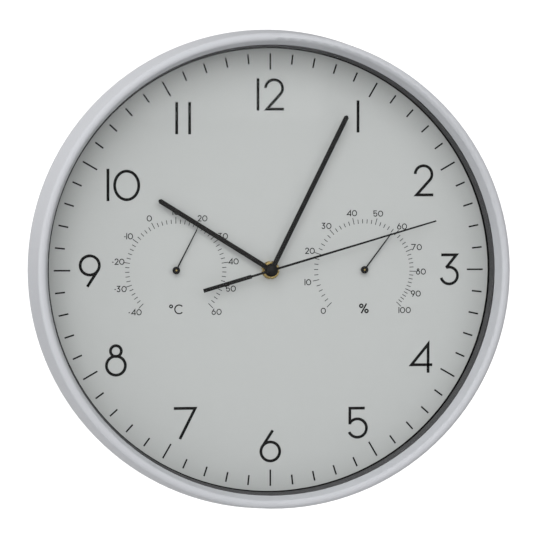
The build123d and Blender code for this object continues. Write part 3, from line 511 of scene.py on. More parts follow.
def wire(path: Array, axis: Array, radius: float) -> Solid:
    """Round wire along a path.

    Each point of the path has a circle in the plane of the outward direction and its cross product with the
    direction of the path.

    Args:
        path: Points along the wire's middle.
        axis: Unit direction of the axis that the path winds round, through the origin.
        radius: Radius of the wire.

    Returns:
        Closed tube with flat ends.
    """
    ahead = np.gradient(path, axis=0)
    ahead = ahead / np.linalg.norm(ahead, axis=1, keepdims=True)
    outward = path - (path @ axis)[:, None] * axis
    outward = outward - (outward * ahead).sum(axis=1, keepdims=True) * ahead
    outward = outward / np.linalg.norm(outward, axis=1, keepdims=True)
    across = np.cross(ahead, outward)
    angle = np.linspace(0, 2 * pi, WIRE_STEPS, endpoint=False)[None, :, None]
    tube = path[:, None] + radius * (np.cos(angle) * outward[:, None] + np.sin(angle) * across[:, None])
    return closed_tube(tube, path[0], path[-1])


# Finishes


class Shader:
    """Node tree of one material, with short calls for the nodes that the finishes share."""

    def __init__(self, name: str) -> None:
        """Starts a material with one Principled shader."""
        self.material = bpy.data.materials.new(name)
        self.material.use_nodes = True
        self.tree = self.material.node_tree
        self.surface = self.tree.nodes["Principled BSDF"]

    def add(self, kind: str, settings: dict | None = None, **inputs: object) -> bpy.types.Node:
        """Adds a node.

        Args:
            kind: Blender's name of the node type.
            settings: Properties of the node.
            inputs: Values or sockets for its inputs, with _ for a space in their names.

        Returns:
            The node.
        """
        node = self.tree.nodes.new(kind)
        for key, value in (settings or {}).items():
            setattr(node, key, value)
        for key, value in inputs.items():
            self.feed(node.inputs[key.replace("_", " ")], value)
        return node

    def feed(self, socket: bpy.types.NodeSocket, value: object) -> None:
        """Links a socket into an input, or sets the input's own value."""
        if isinstance(value, bpy.types.NodeSocket):
            self.tree.links.new(value, socket)
        else:
            socket.default_value = value

    def set(self, **inputs: object) -> None:
        """Feeds inputs of the Principled shader, with _ for a space in their names."""
        for key, value in inputs.items():
            self.feed(self.surface.inputs[key.replace("_", " ")], value)

    def place(self, centre: Place = (0, 0, 0)) -> bpy.types.NodeSocket:
        """Object coordinates in metres, with their origin moved to a centre in metres."""
        coordinates = self.add("ShaderNodeTexCoord").outputs["Object"]
        shift = tuple(-value for value in centre)
        return self.add("ShaderNodeMapping", Vector=coordinates, Location=shift).outputs["Vector"]

    def noise(self, place: bpy.types.NodeSocket, grain: float, detail: float = 2.0) -> bpy.types.NodeSocket:
        """Noise between 0 and 1 whose spots are about a grain across, in millimetres."""
        node = self.add("ShaderNodeTexNoise", Vector=place, Scale=1 / (grain * MM), Detail=detail)
        return node.outputs["Fac"]

    def calculate(self, kind: str, operation: str, *values: object) -> bpy.types.Node:
        """Adds a Math or VectorMath node, as kind says, and feeds its inputs in their order."""
        node = self.add(f"ShaderNode{kind}", {"operation": operation})
        for socket, value in zip(node.inputs, values):
            self.feed(socket, value)
        return node

    def radius(self, place: bpy.types.NodeSocket, across: Place) -> bpy.types.NodeSocket:
        """Distance from an axis: the length of the place times across, which is 0 along the axis."""
        flat = self.calculate("VectorMath", "MULTIPLY", place, across)
        return self.calculate("VectorMath", "LENGTH", flat.outputs["Vector"]).outputs["Value"]

    def between(self, factor: bpy.types.NodeSocket, low: float, high: float) -> bpy.types.NodeSocket:
        """A factor from 0 to 1 spread between two values."""
        return self.add("ShaderNodeMapRange", Value=factor, To_Min=low, To_Max=high).outputs["Result"]

    def around(self, factor: bpy.types.NodeSocket, middle: float, spread: Spread) -> bpy.types.NodeSocket:
        """A factor from 0 to 1 spread from below a value to above it."""
        return self.between(factor, middle + spread[0], middle + spread[1])

    def blend(self, factor: bpy.types.NodeSocket, first: object, second: object) -> bpy.types.NodeSocket:
        """Blend of two colours by a factor."""
        node = self.add("ShaderNodeMix", {"data_type": "RGBA"})
        self.feed(node.inputs["Factor"], factor)
        colours = [socket for socket in node.inputs if socket.type == "RGBA"]
        for socket, value in zip(colours, (first, second)):
            self.feed(socket, value)
        return next(socket for socket in node.outputs if socket.type == "RGBA")

    def tinted(self, factor: bpy.types.NodeSocket, colour: Colour, spread: float) -> bpy.types.NodeSocket:
        """A colour that wanders by a share to each side with a factor."""
        return self.blend(factor, shade(colour, 1 - spread), shade(colour, 1 + spread))

    def bump(self, height: bpy.types.NodeSocket, depth: float) -> None:
        """Gives the surface a relief of a depth in millimetres."""
        node = self.add("ShaderNodeBump", Height=height, Distance=depth * MM, Strength=1.0)
        self.set(Normal=node.outputs["Normal"])


def shade(colour: Colour, factor: float = 1.0) -> tuple[float, float, float, float]:
    """A colour times a factor, with full alpha."""
    return (*(min(1.0, channel * factor) for channel in colour), 1.0)


@dataclass(frozen=True)
class Finish:
    """Base of the finishes: a named material that each of them paints in its own way."""

    name: str

    def paint(self, shader: Shader) -> None:
        """Feeds the inputs of the material's shader."""
        raise NotImplementedError

    def material(self) -> bpy.types.Material:
        """Makes the material."""
        shader = Shader(self.name)
        self.paint(shader)
        return shader.material


@dataclass(frozen=True)
class MouldedPlastic(Finish):
    """Moulded plastic: fine spark-eroded grain, and colour and gloss that wander a little."""

    colour: Colour
    roughness: float = 0.45
    grain: float = 0.5
    depth: float = 0.012
    cloud: float = 35.0
    wander: float = 0.015
    gloss_spread: Spread = (-0.05, 0.05)
    specular: float = 0.5

    def paint(self, shader: Shader) -> None:
        """Grain in relief and gloss, wide clouds in colour."""
        place = shader.place()
        grain = shader.noise(place, self.grain, detail=3.0)
        cloud = shader.noise(place, self.cloud)
        shader.set(
            Base_Color=shader.tinted(cloud, self.colour, self.wander),
            Roughness=shader.around(grain, self.roughness, self.gloss_spread),
            Specular_IOR_Level=self.specular,
        )
        shader.bump(grain, self.depth)


@dataclass(frozen=True)
class BandedPlastic(Finish):
    """Plastic wall: black near the dial as painted shade, and a lighter dark grey above a break line as
    painted light.
    """

    colour: Colour
    etched_colour: Colour
    break_height: float
    break_blend: float = 0.4
    grain: float = 0.4
    depth: float = 0.01
    wander: float = 0.12
    roughness: Spread = (0.5, 0.62)
    specular: float = 0.0

    def paint(self, shader: Shader) -> None:
        """Blends the painted shade below and the painted light above by the height in front of the wall, with
        grain in relief and gloss.
        """
        place = shader.place()
        grain = shader.noise(place, self.grain, detail=3.0)
        height = shader.add("ShaderNodeSeparateXYZ", Vector=place).outputs["Y"]
        low, high = self.break_height - self.break_blend, self.break_height + self.break_blend
        # painted shade and light: black below the break line, lighter dark grey above it
        lit_share = shader.add("ShaderNodeMapRange", Value=height, From_Min=-low * MM, From_Max=-high * MM)
        lit_upper = shader.tinted(grain, self.etched_colour, self.wander)
        shader.set(
            Base_Color=shader.blend(lit_share.outputs["Result"], shade(self.colour), lit_upper),
            Roughness=shader.between(grain, *self.roughness),
            Specular_IOR_Level=self.specular,
        )
        shader.bump(grain, self.depth)


@dataclass(frozen=True)
class PrintedSheet(Finish):
    """Printed dial: satin sheet with a very fine screened grain."""

    colour: Colour
    roughness: float = 0.5
    screen: float = 0.35
    wander: float = 0.012
    depth: float = 0.002
    gloss_spread: Spread = (-0.04, 0.04)
    specular: float = 0.3

    def paint(self, shader: Shader) -> None:
        """Screen in colour, gloss and relief."""
        screen = shader.noise(shader.place(), self.screen, detail=1.0)
        shader.set(
            Base_Color=shader.tinted(screen, self.colour, self.wander),
            Roughness=shader.around(screen, self.roughness, self.gloss_spread),
            Specular_IOR_Level=self.specular,
        )
        shader.bump(screen, self.depth)


@dataclass(frozen=True)
class Ink(Finish):
    """Screen-printed ink, a little uneven in density."""

    colour: Colour
    density_spot: float = 0.6
    wander: float = 0.25
    roughness: Spread = (0.55, 0.7)
    specular: float = 0.08

    def paint(self, shader: Shader) -> None:
        """Spots in colour and gloss."""
        spots = shader.noise(shader.place(), self.density_spot)
        shader.set(
            Base_Color=shader.tinted(spots, self.colour, self.wander),
            Roughness=shader.between(spots, *self.roughness),
            Specular_IOR_Level=self.specular,
        )


@dataclass(frozen=True)
class Lacquer(Finish):
    """Sprayed lacquer on stamped metal, with a faint orange peel."""

    colour: Colour
    roughness: float = 0.5
    peel: float = 0.9
    depth: float = 0.004
    wander: float = 0.15
    gloss_spread: Spread = (-0.06, 0.06)
    specular: float = 0.15

    def paint(self, shader: Shader) -> None:
        """Peel in colour, gloss and relief."""
        peel = shader.noise(shader.place(), self.peel)
        shader.set(
            Base_Color=shader.tinted(peel, self.colour, self.wander),
            Roughness=shader.around(peel, self.roughness, self.gloss_spread),
            Specular_IOR_Level=self.specular,
        )
        shader.bump(peel, self.depth)


@dataclass(frozen=True)
class SheetMetal(Finish):
    """Rolled or plated metal: streaks along one direction and patchy gloss."""

    colour: Colour
    roughness: float = 0.32
    streak: float = 0.12
    stretch: Place = (0.04, 1.0, 1.0)
    patch: float = 6.0
    depth: float = 0.003
    wander: float = 0.07
    gloss_spread: Spread = (-0.08, 0.1)

    def paint(self, shader: Shader) -> None:
        """Streaks in relief, patches in colour and gloss."""
        place = shader.place()
        drawn = shader.calculate("VectorMath", "MULTIPLY", place, self.stretch)
        streaks = shader.noise(drawn.outputs["Vector"], self.streak)
        patches = shader.noise(place, self.patch, detail=3.0)
        shader.set(
            Base_Color=shader.tinted(patches, self.colour, self.wander),
            Metallic=1.0,
            Roughness=shader.around(patches, self.roughness, self.gloss_spread),
        )
        shader.bump(streaks, self.depth)


@dataclass(frozen=True)
class TurnedMetal(Finish):
    """Lathe-turned metal: fine rings about the axis that it was turned on, which points at the viewer."""

    colour: Colour
    centre: Place
    roughness: float = 0.24
    groove: float = 0.3
    depth: float = 0.012
    tarnish: float = 2.5
    wander: float = 0.1
    gloss_spread: Spread = (-0.06, 0.1)
    across: Place = (1, 0, 1)

    def paint(self, shader: Shader) -> None:
        """Rings in relief, tarnish in colour and gloss."""
        place = shader.place(self.centre)
        radius = shader.radius(place, self.across)
        scale = 1 / (self.groove * MM)
        rings = shader.add("ShaderNodeTexNoise", {"noise_dimensions": "1D"}, W=radius, Scale=scale)
        tarnish = shader.noise(place, self.tarnish, detail=3.0)
        shader.set(
            Base_Color=shader.tinted(tarnish, self.colour, self.wander),
            Metallic=1.0,
            Roughness=shader.around(tarnish, self.roughness, self.gloss_spread),
        )
        shader.bump(rings.outputs["Fac"], self.depth)


@dataclass(frozen=True)
class ClearGlass(Finish):
    """Flat clear glass: a mirror whose cover grows with a power of one minus the cosine of the view."""

    tint: Colour = (0.95, 0.98, 0.97)
    face_on_share: float = 0.004
    cover_power: float = 5.0
    smear: float = 40.0
    roughness: float = 0.03
    gloss_spread: Spread = (-0.01, 0.02)

    def paint(self, shader: Shader) -> None:
        """Mirror in alpha, faint smears in gloss."""
        facing = shader.add("ShaderNodeLayerWeight", Blend=0.5).outputs["Facing"]
        power = shader.calculate("Math", "POWER", facing, self.cover_power)
        mirrored = shader.between(power.outputs["Value"], self.face_on_share, 1.0)
        smear = shader.noise(shader.place(), self.smear)
        shader.set(
            Base_Color=shade(self.tint),
            Metallic=1.0,
            Roughness=shader.around(smear, self.roughness, self.gloss_spread),
            Alpha=mirrored,
        )


@dataclass(frozen=True)
class CellJacket(Finish):
    """Battery sleeve: plain colour with a contrast band at the positive end and bright metal at both ends."""

    colour: Colour
    band_colour: Colour
    metal_colour: Colour
    middle: Place
    band_start: float
    bare_radius: float
    scuff: float = 1.8
    wander: float = 0.08
    sleeve_metallic: float = 0.35
    roughness: Spread = (0.2, 0.34)
    across: Place = (0, 1, 1)

    def paint(self, shader: Shader) -> None:
        """Picks the colour by the place along the cell and by the distance from its axis; scuffs in gloss."""
        place = shader.place(self.middle)
        along = shader.add("ShaderNodeSeparateXYZ", Vector=place).outputs["X"]
        band = shader.calculate("Math", "GREATER_THAN", along, self.band_start * MM).outputs["Value"]
        radius = shader.radius(place, self.across)
        bare = shader.calculate("Math", "LESS_THAN", radius, self.bare_radius * MM).outputs["Value"]
        scuff = shader.noise(place, self.scuff, detail=4.0)
        sleeve = shader.blend(band, shade(self.colour), shade(self.band_colour))
        metal = shader.tinted(scuff, self.metal_colour, self.wander)
        shader.set(
            Base_Color=shader.blend(bare, sleeve, metal),
            Metallic=shader.between(bare, self.sleeve_metallic, 1.0),
            Roughness=shader.between(scuff, *self.roughness),
        )


@dataclass(frozen=True)
class WoundWire(Finish):
    """Enamelled wire wound side by side along the coil's length."""

    colour: Colour
    pitch: float = 0.16
    depth: float = 0.03
    wander: float = 0.2
    roughness: Spread = (0.25, 0.4)
    unevenness: float = 0.3

    def paint(self, shader: Shader) -> None:
        """Turns in colour, gloss and relief."""
        scale = 1 / (self.pitch * MM * pi)
        wave = shader.add("ShaderNodeTexWave", Vector=shader.place(), Scale=scale, Distortion=self.unevenness)
        turns = wave.outputs["Fac"]
        shader.set(
            Base_Color=shader.tinted(turns, self.colour, self.wander),
            Metallic=1.0,
            Roughness=shader.between(turns, *self.roughness),
        )
        shader.bump(turns, self.depth)


def dress(nodes: Sequence[str], material: bpy.types.Material) -> None:
    """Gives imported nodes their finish.

    Args:
        nodes: Names of the nodes.
        material: Finish for all their slots.
    """
    for name in nodes:
        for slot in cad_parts[name].material_slots:
            slot.material = material
        log.info("%s: %s", name, material.name)


# Printed dial


@dataclass
class DialPrint:
    """Minute track and hour numerals, printed on the dial sheet."""

    axis: ClockAxis
    face: PenFace
    ink: bpy.types.Material
    body: str = "case"
    ink_low: float = -0.01
    ink_high: float = 0.03
    ink_step: float = 0.004
    ink_layers: int = 3
    track_radius: float = 134.6
    minute_tick: float = 6.2
    hour_tick: float = 10.2
    tick_width: float = 1.0
    numeral_height: float = 20.0
    numeral_gap_shares: dict[int, float] = field(default_factory=lambda: {10: 0.118, 11: 0.314, 12: 0.137})
    numeral_angles: dict[int, float] = field(default_factory=lambda: {7: 209.2})
    numeral_radii: dict[int, float] = field(
        default_factory=lambda: {
            1: 110.4, 2: 111.6, 3: 113.4, 4: 109.6, 5: 110.5, 6: 109.9,
            7: 108.6, 8: 111.2, 9: 112.4, 10: 105.7, 11: 108.8, 12: 109.1,
        }
    )

    def slabs(self, strokes: Sequence[Stroke], pen: float) -> Solid:
        """Ink of several strokes, in a few layers by turns, so that strokes that cross share no face.

        Args:
            strokes: Centre lines on the dial, in millimetres.
            pen: Width of the strokes.

        Returns:
            One mesh of closed slabs on the dial's face.
        """
        low, high = self.axis.dial_height + self.ink_low, self.axis.dial_height + self.ink_high
        return Solid.joined(
            [
                stroke_slab(stroke, pen, low, high + turn % self.ink_layers * self.ink_step)
                for turn, stroke in enumerate(strokes)
            ]
        )

    def print_piece(self, name: str, strokes: Sequence[Stroke], pen: float) -> bpy.types.Object:
        """Makes one printed piece of strokes and lets it ride on the case."""
        solid = self.slabs(strokes, pen)
        return make_piece(name, self.axis.to_frame(solid.corners), solid, self.ink, self.body)

    def tick(self, angle: float, inner: float, outer: float, centre: float = 0.0) -> Stroke:
        """Straight radial stroke, at an angle clockwise from the top."""
        turn = radians(angle)
        return run(*[(centre + radius * sin(turn), radius * cos(turn)) for radius in (inner, outer)])

    def minute_track(self) -> None:
        """Sixty ticks, longer at the hours."""
        lengths = [self.minute_tick if minute % 5 else self.hour_tick for minute in range(60)]
        ticks = [
            self.tick(6 * minute, self.track_radius - length, self.track_radius)
            for minute, length in enumerate(lengths)
        ]
        self.print_piece("minute_track", ticks, self.tick_width)

    def numerals(self) -> None:
        """Twelve upright numerals, each centred at its own radius."""
        for hour, radius in self.numeral_radii.items():
            turn = radians(self.numeral_angles.get(hour, 30 * hour))
            centre = (radius * sin(turn), radius * cos(turn))
            strokes = self.face.word(str(hour), self.numeral_gap_shares.get(hour))
            placed = [stroke.placed(self.numeral_height, centre) for stroke in strokes]
            self.print_piece(f"numeral_{hour}", placed, self.face.pen_share * self.numeral_height)

    def build(self) -> None:
        """Prints the whole dial."""
        self.minute_track()
        self.numerals()


@dataclass
class ScalePrint:
    """Round scale of one instrument, printed round its pointer's arbor."""

    name: str
    centre: float
    sign: str
    angles: dict[int, float]
    dial: DialPrint
    face: PenFace
    divisions: int = 5
    tick_inner: float = 28.9
    minor_outer: float = 31.5
    major_outer: float = 33.0
    tick_width: float = 0.42
    label_radius: float = 36.2
    label_height: float = 3.9
    sign_drop: float = 24.2
    sign_height: float = 6.1
    sign_face: PenFace = PenFace(pen_share=0.125, gap_share=0.12)

    def ticks(self) -> None:
        """Ticks at the labelled values and at even divisions between them."""
        marks = list(self.angles.values())
        strokes = [self.dial.tick(angle, self.tick_inner, self.major_outer, self.centre) for angle in marks]
        for start, end in zip(marks, marks[1:]):
            for division in range(1, self.divisions):
                angle = start + (end - start) * division / self.divisions
                strokes.append(self.dial.tick(angle, self.tick_inner, self.minor_outer, self.centre))
        self.dial.print_piece(f"{self.name}_ticks", strokes, self.tick_width)

    def labels(self) -> None:
        """Upright numbers outside the ticks."""
        strokes = []
        for value, angle in self.angles.items():
            turn = radians(angle)
            centre = (self.centre + self.label_radius * sin(turn), self.label_radius * cos(turn))
            strokes += [stroke.placed(self.label_height, centre) for stroke in self.face.word(str(value))]
        self.dial.print_piece(f"{self.name}_numbers", strokes, self.face.pen_share * self.label_height)

    def unit_sign(self) -> None:
        """Sign of the unit below the arbor."""
        strokes = [
            stroke.placed(self.sign_height, (self.centre, -self.sign_drop))
            for stroke in self.sign_face.word(self.sign)
        ]
        self.dial.print_piece(f"{self.name}_sign", strokes, self.sign_face.pen_share * self.sign_height)

    def build(self) -> None:
        """Prints the scale."""
        self.ticks()
        self.labels()
        self.unit_sign()


# Sub-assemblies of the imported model


@dataclass
class Case:
    """Rim, glass, spacer ring, dial sheet, board and hanger."""

    axis: ClockAxis
    ring_break: float = 4.0
    # Spacer ring: black near the dial as painted shade, lighter dark grey above the break as painted light
    ring_colour: Colour = (0.004, 0.004, 0.004)
    ring_etched_colour: Colour = (0.085, 0.085, 0.088)
    rim: Finish = MouldedPlastic("satin_grey_rim", (0.425, 0.433, 0.455), roughness=0.55, specular=0.2)
    glass: Finish = ClearGlass("flat_glass")
    sheet: Finish = PrintedSheet("pale_grey_dial", (0.406, 0.42, 0.415))
    board: Finish = MouldedPlastic("grey_board", (0.30, 0.30, 0.315), roughness=0.5, grain=0.8, depth=0.025)
    plated: Finish = SheetMetal("zinc_plate", (0.62, 0.63, 0.66))
    screws: Finish = SheetMetal("zinc_screws", (0.58, 0.585, 0.6), roughness=0.28, patch=2.0)

    def build(self) -> None:
        """Dresses the case."""
        dress(["case_rim"], self.rim.material())
        dress(["lens_glass"], self.glass.material())
        break_height = self.axis.dial_height + self.ring_break
        wall = BandedPlastic("black_spacer_ring", self.ring_colour, self.ring_etched_colour, break_height)
        dress(["spacer_ring"], wall.material())
        dress(["dial_sheet"], self.sheet.material())
        dress(["dial_board"], self.board.material())
        dress(["hanger_bracket"], self.plated.material())
        dress(["rim_screws", "hanger_screws", "instrument_screws"], self.screws.material())


@dataclass
class Hands:
    """Three hands with their collets, and the brass nut and bush that they turn in."""

    axis: ClockAxis
    lacquer: Finish = Lacquer("black_hand_lacquer", (0.006, 0.0057, 0.0057))
    nut_colour: Colour = (0.47, 0.36, 0.15)

    def build(self) -> None:
        """Dresses the hands, the nut and the bush."""
        black = self.lacquer.material()
        for hand in ("hour_hand", "minute_hand"):
            dress([hand, f"{hand}_collet"], black)
        dress(["second_hand", "second_hand_tube", "second_hand_cap"], black)
        brass = TurnedMetal("turned_brass", self.nut_colour, (0, 0, self.axis.up * MM))
        dress(["dial_nut", "mounting_bush"], brass.material())


@dataclass
class Instruments:
    """Pointers, arbors, coils and frames of thermometer and hygrometer."""

    axis: ClockAxis
    lacquer: Finish = Lacquer("black_pointer_lacquer", (0.006, 0.0057, 0.0057))
    frame_metal: Finish = SheetMetal("stamped_frame", (0.72, 0.72, 0.73), roughness=0.36)
    arbor_colour: Colour = (0.36, 0.27, 0.11)
    strips: dict[str, Colour] = field(
        default_factory=lambda: {"thermometer": (0.72, 0.58, 0.36), "hygrometer": (0.78, 0.70, 0.52)}
    )

    def build(self) -> None:
        """Dresses both instruments."""
        black, plate = self.lacquer.material(), self.frame_metal.material()
        for kind, colour in self.strips.items():
            low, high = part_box(f"{kind}_arbor")
            centre = ((low.x + high.x) / 2, 0, self.axis.up * MM)
            dress([f"{kind}_pointer", f"{kind}_hub"], black)
            brass = TurnedMetal(f"{kind}_arbor_brass", self.arbor_colour, centre, roughness=0.35)
            dress([f"{kind}_arbor"], brass.material())
            dress([f"{kind}_frame"], plate)
            strip = SheetMetal(f"{kind}_strip", colour, roughness=0.3, stretch=(1.0, 0.05, 1.0), patch=1.5)
            dress([f"{kind}_coil"], strip.material())


@dataclass
class Battery:
    """Round cell with its sleeve, shoulders, bare ends and terminal, and the spring that presses on it."""

    terminal_radius: float = 2.75
    terminal_round: float = 0.45
    terminal_length: float = 1.2
    shoulder: float = 0.7
    sleeve_turn_in: float = 1.5
    end_recess: float = 0.35
    recess_slope: float = 0.3
    base_radius: float = 4.3
    band_share: float = 0.27
    sleeve_colour: Colour = (0.035, 0.10, 0.055)
    band_colour: Colour = (0.55, 0.33, 0.10)
    end_colour: Colour = (0.72, 0.72, 0.73)
    spring_metal: Finish = SheetMetal("nickel_spring", (0.80, 0.79, 0.77), roughness=0.22)
    spring_turns: float = 3.25
    spring_steps: int = 32
    spring_wire: float = 0.34
    spring_foot_radius: float = 3.4
    spring_tip_radius: float = 2.1
    plate_side: float = 9.6
    plate_corner: float = 1.2
    plate_thickness: float = 0.4
    smooth_angle: float = 40.0

    def cell_profile(self, left: float, right: float, radius: float) -> Array:
        """Outline of the cell from its base to its terminal, as (along, radius).

        Straight runs, with a quarter circle at each shoulder and at the terminal's edge.

        Args:
            left: Place of the base.
            right: Place of the terminal's face.
            radius: Radius over the sleeve.

        Returns:
            Points from the axis at the base to the axis at the terminal.
        """
        cap, end = right - self.terminal_length, right
        inner = radius - self.sleeve_turn_in
        base = left + self.end_recess
        rise = arc((left + self.shoulder, radius - self.shoulder), self.shoulder, 180, 90)
        fall = arc((cap - self.shoulder, radius - self.shoulder), self.shoulder, 90, 0)
        edge_centre = (end - self.terminal_round, self.terminal_radius - self.terminal_round)
        edge = arc(edge_centre, self.terminal_round, 90, 0)
        sunk = cap - self.end_recess
        points = [
            (left, 0), (left, self.base_radius), (base, self.base_radius + self.recess_slope), (base, inner),
            (left, inner + self.recess_slope), *rise, *fall,
            (cap, inner + self.recess_slope), (sunk, inner), (sunk, self.terminal_radius), *edge, (end, 0),
        ]
        return np.array(points)

    def cell(self) -> None:
        """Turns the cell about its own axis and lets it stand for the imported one."""
        low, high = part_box("battery_cell")
        middle = (low + high) / 2
        left, right, radius = low.x / MM, high.x / MM, (high.z - low.z) / 2 / MM
        solid = turned(self.cell_profile(left, right, radius))
        corners = solid.corners * MM + np.array((0, middle.y, middle.z))
        jacket = CellJacket(
            "cell_sleeve",
            self.sleeve_colour,
            self.band_colour,
            self.end_colour,
            middle=tuple(middle),
            band_start=(right - left) * (0.5 - self.band_share),
            bare_radius=radius - self.sleeve_turn_in,
        )
        material = jacket.material()
        piece = make_piece("cell", corners, solid, material, "battery", self.smooth_angle)
        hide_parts("battery_cell")

    def coil(self, start: float, end: float) -> Solid:
        """Conical spring: the radius falls and the place along the axis grows evenly with the angle.

        Args:
            start: Place of the wire's middle at the foot.
            end: Place of the wire's middle at the tip.

        Returns:
            Mesh of the wire. Corners are (along, across, up).
        """
        share = np.linspace(0, 1, round(self.spring_turns * self.spring_steps))
        angle = 2 * pi * self.spring_turns * share
        radius = self.spring_foot_radius + (self.spring_tip_radius - self.spring_foot_radius) * share
        along = start + (end - start) * share
        path = np.column_stack((along, radius * np.cos(angle), radius * np.sin(angle)))
        return wire(path, np.array((1.0, 0.0, 0.0)), self.spring_wire)

    def plate(self, back: float, front: float) -> Solid:
        """Square plate with rounded corners: a quarter circle at each corner, at two places along the axis.

        Args:
            back: Place of its rear face.
            front: Place of its front face.

        Returns:
            Mesh of the plate. Corners are (along, across, up).
        """
        inner = self.plate_side / 2 - self.plate_corner
        corners = [((1, 1), 0), ((-1, 1), 90), ((-1, -1), 180), ((1, -1), 270)]
        outline = np.vstack(
            [
                arc((across * inner, up * inner), self.plate_corner, angle, angle + 90)
                for (across, up), angle in corners
            ]
        )
        faces = [np.column_stack((np.full(len(outline), along), outline)) for along in (back, front)]
        return closed_tube(np.stack(faces), (back, 0, 0), (front, 0, 0))

    def spring(self) -> None:
        """Winds the contact's spring on its plate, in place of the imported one; dresses the other contact."""
        low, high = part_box("negative_contact")
        middle = (low + high) / 2
        wall, tip = low.x / MM, high.x / MM
        face = wall + self.plate_thickness
        coil = self.coil(face + self.spring_wire, tip - self.spring_wire)
        solid = Solid.joined([coil, self.plate(wall, face)])
        placed = solid.corners * MM + np.array((0, middle.y, middle.z))
        material = self.spring_metal.material()
        piece = make_piece("contact_spring", placed, solid, material, "case", self.smooth_angle)
        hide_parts("negative_contact")
        dress(["positive_contact"], material)

    def build(self) -> None:
        """Makes the cell and its spring."""
        self.cell()
        self.spring()


@dataclass
class Movement:
    """Housing, wheels, knob, motor and circuit of the quartz movement."""

    axis: ClockAxis
    housing: Finish = MouldedPlastic(
        "black_housing", (0.016, 0.016, 0.017), roughness=0.42, grain=0.6, depth=0.02
    )
    wheel: Finish = MouldedPlastic("white_wheels", (0.72, 0.71, 0.67), roughness=0.35)
    knob: Finish = MouldedPlastic("black_knob", (0.02, 0.02, 0.021), roughness=0.35)
    rubber: Finish = MouldedPlastic("rubber_washer", (0.018, 0.018, 0.018), roughness=0.75, specular=0.25)
    iron: Finish = SheetMetal("soft_iron", (0.45, 0.45, 0.45), roughness=0.4)
    magnet: Finish = SheetMetal("ground_magnet", (0.12, 0.12, 0.13), roughness=0.45)
    winding: Finish = WoundWire("copper_winding", (0.72, 0.30, 0.12))
    phenolic: Finish = MouldedPlastic("phenolic_circuit", (0.20, 0.10, 0.03), roughness=0.5)
    can: Finish = SheetMetal("crystal_can", (0.80, 0.80, 0.80), roughness=0.2)
    resin: Finish = MouldedPlastic("chip_resin", (0.010, 0.010, 0.010), roughness=0.22, grain=1.5)
    mark_height: float = 3.0
    mark_pen: float = 0.6
    mark_rise: float = 0.25
    mark_inset: float = 5.0
    mark_gap: float = 2.2
    mark_step: float = 0.01

    def marks(self, material: bpy.types.Material) -> None:
        """Raised plus and minus on the cover, above the two ends of the battery bay."""
        _, cover_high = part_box("movement_cover")
        _, cell_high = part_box("battery_cell")
        up = (cell_high.z / MM - self.axis.up) + self.mark_gap + self.mark_height / 2
        reach = cover_high.x / MM - self.mark_inset
        back = cover_high.y / MM
        half = self.mark_height / 2
        plus, minus = -reach, reach
        strokes = [
            run((plus - half, up), (plus + half, up)),
            run((plus, up - half), (plus, up + half)),
            run((minus - half, up), (minus + half, up)),
        ]
        low, high = back - self.mark_rise, back + self.mark_rise
        solid = Solid.joined(
            [
                stroke_slab(stroke, self.mark_pen, low, high + turn * self.mark_step)
                for turn, stroke in enumerate(strokes)
            ]
        )
        corners = self.axis.to_frame(solid.corners, Facing.BACK)
        make_piece("polarity_marks", corners, solid, material, "case")

    def build(self) -> None:
        """Dresses the movement."""
        housing = self.housing.material()
        dress(["movement_case", "movement_cover", "middle_plate", "coil_bobbin"], housing)
        self.marks(housing)
        wheels = ["hour_wheel", "minute_arbor", "motion_wheel", "centre_wheel", "third_wheel", "second_wheel"]
        dress([*wheels, "intermediate_wheel", "rotor_pinion"], self.wheel.material())
        dress(["set_knob"], self.knob.material())
        dress(["cushion_washer"], self.rubber.material())
        dress(["stator", "coil_core"], self.iron.material())
        dress(["rotor_magnet"], self.magnet.material())
        dress(["coil_winding"], self.winding.material())
        dress(["circuit_board"], self.phenolic.material())
        dress(["quartz_crystal"], self.can.material())
        dress(["chip_blob"], self.resin.material())


# Studio


@dataclass(frozen=True)
class SoftBox:
    """Square soft light, aimed at the middle of the dial; places and side are in metres."""

    name: str
    place: Place
    side: float
    watts: float

    def build(self, target: Vector) -> None:
        """Hangs the light and aims it."""
        lamp = bpy.data.lights.new(self.name, "AREA")
        lamp.shape, lamp.size, lamp.energy = "SQUARE", self.side, self.watts
        holder = bpy.data.objects.new(self.name, lamp)
        bpy.context.scene.collection.objects.link(holder)
        holder.location = target + Vector(self.place)
        holder.rotation_euler = (target - holder.location).to_track_quat("-Z", "Y").to_euler()


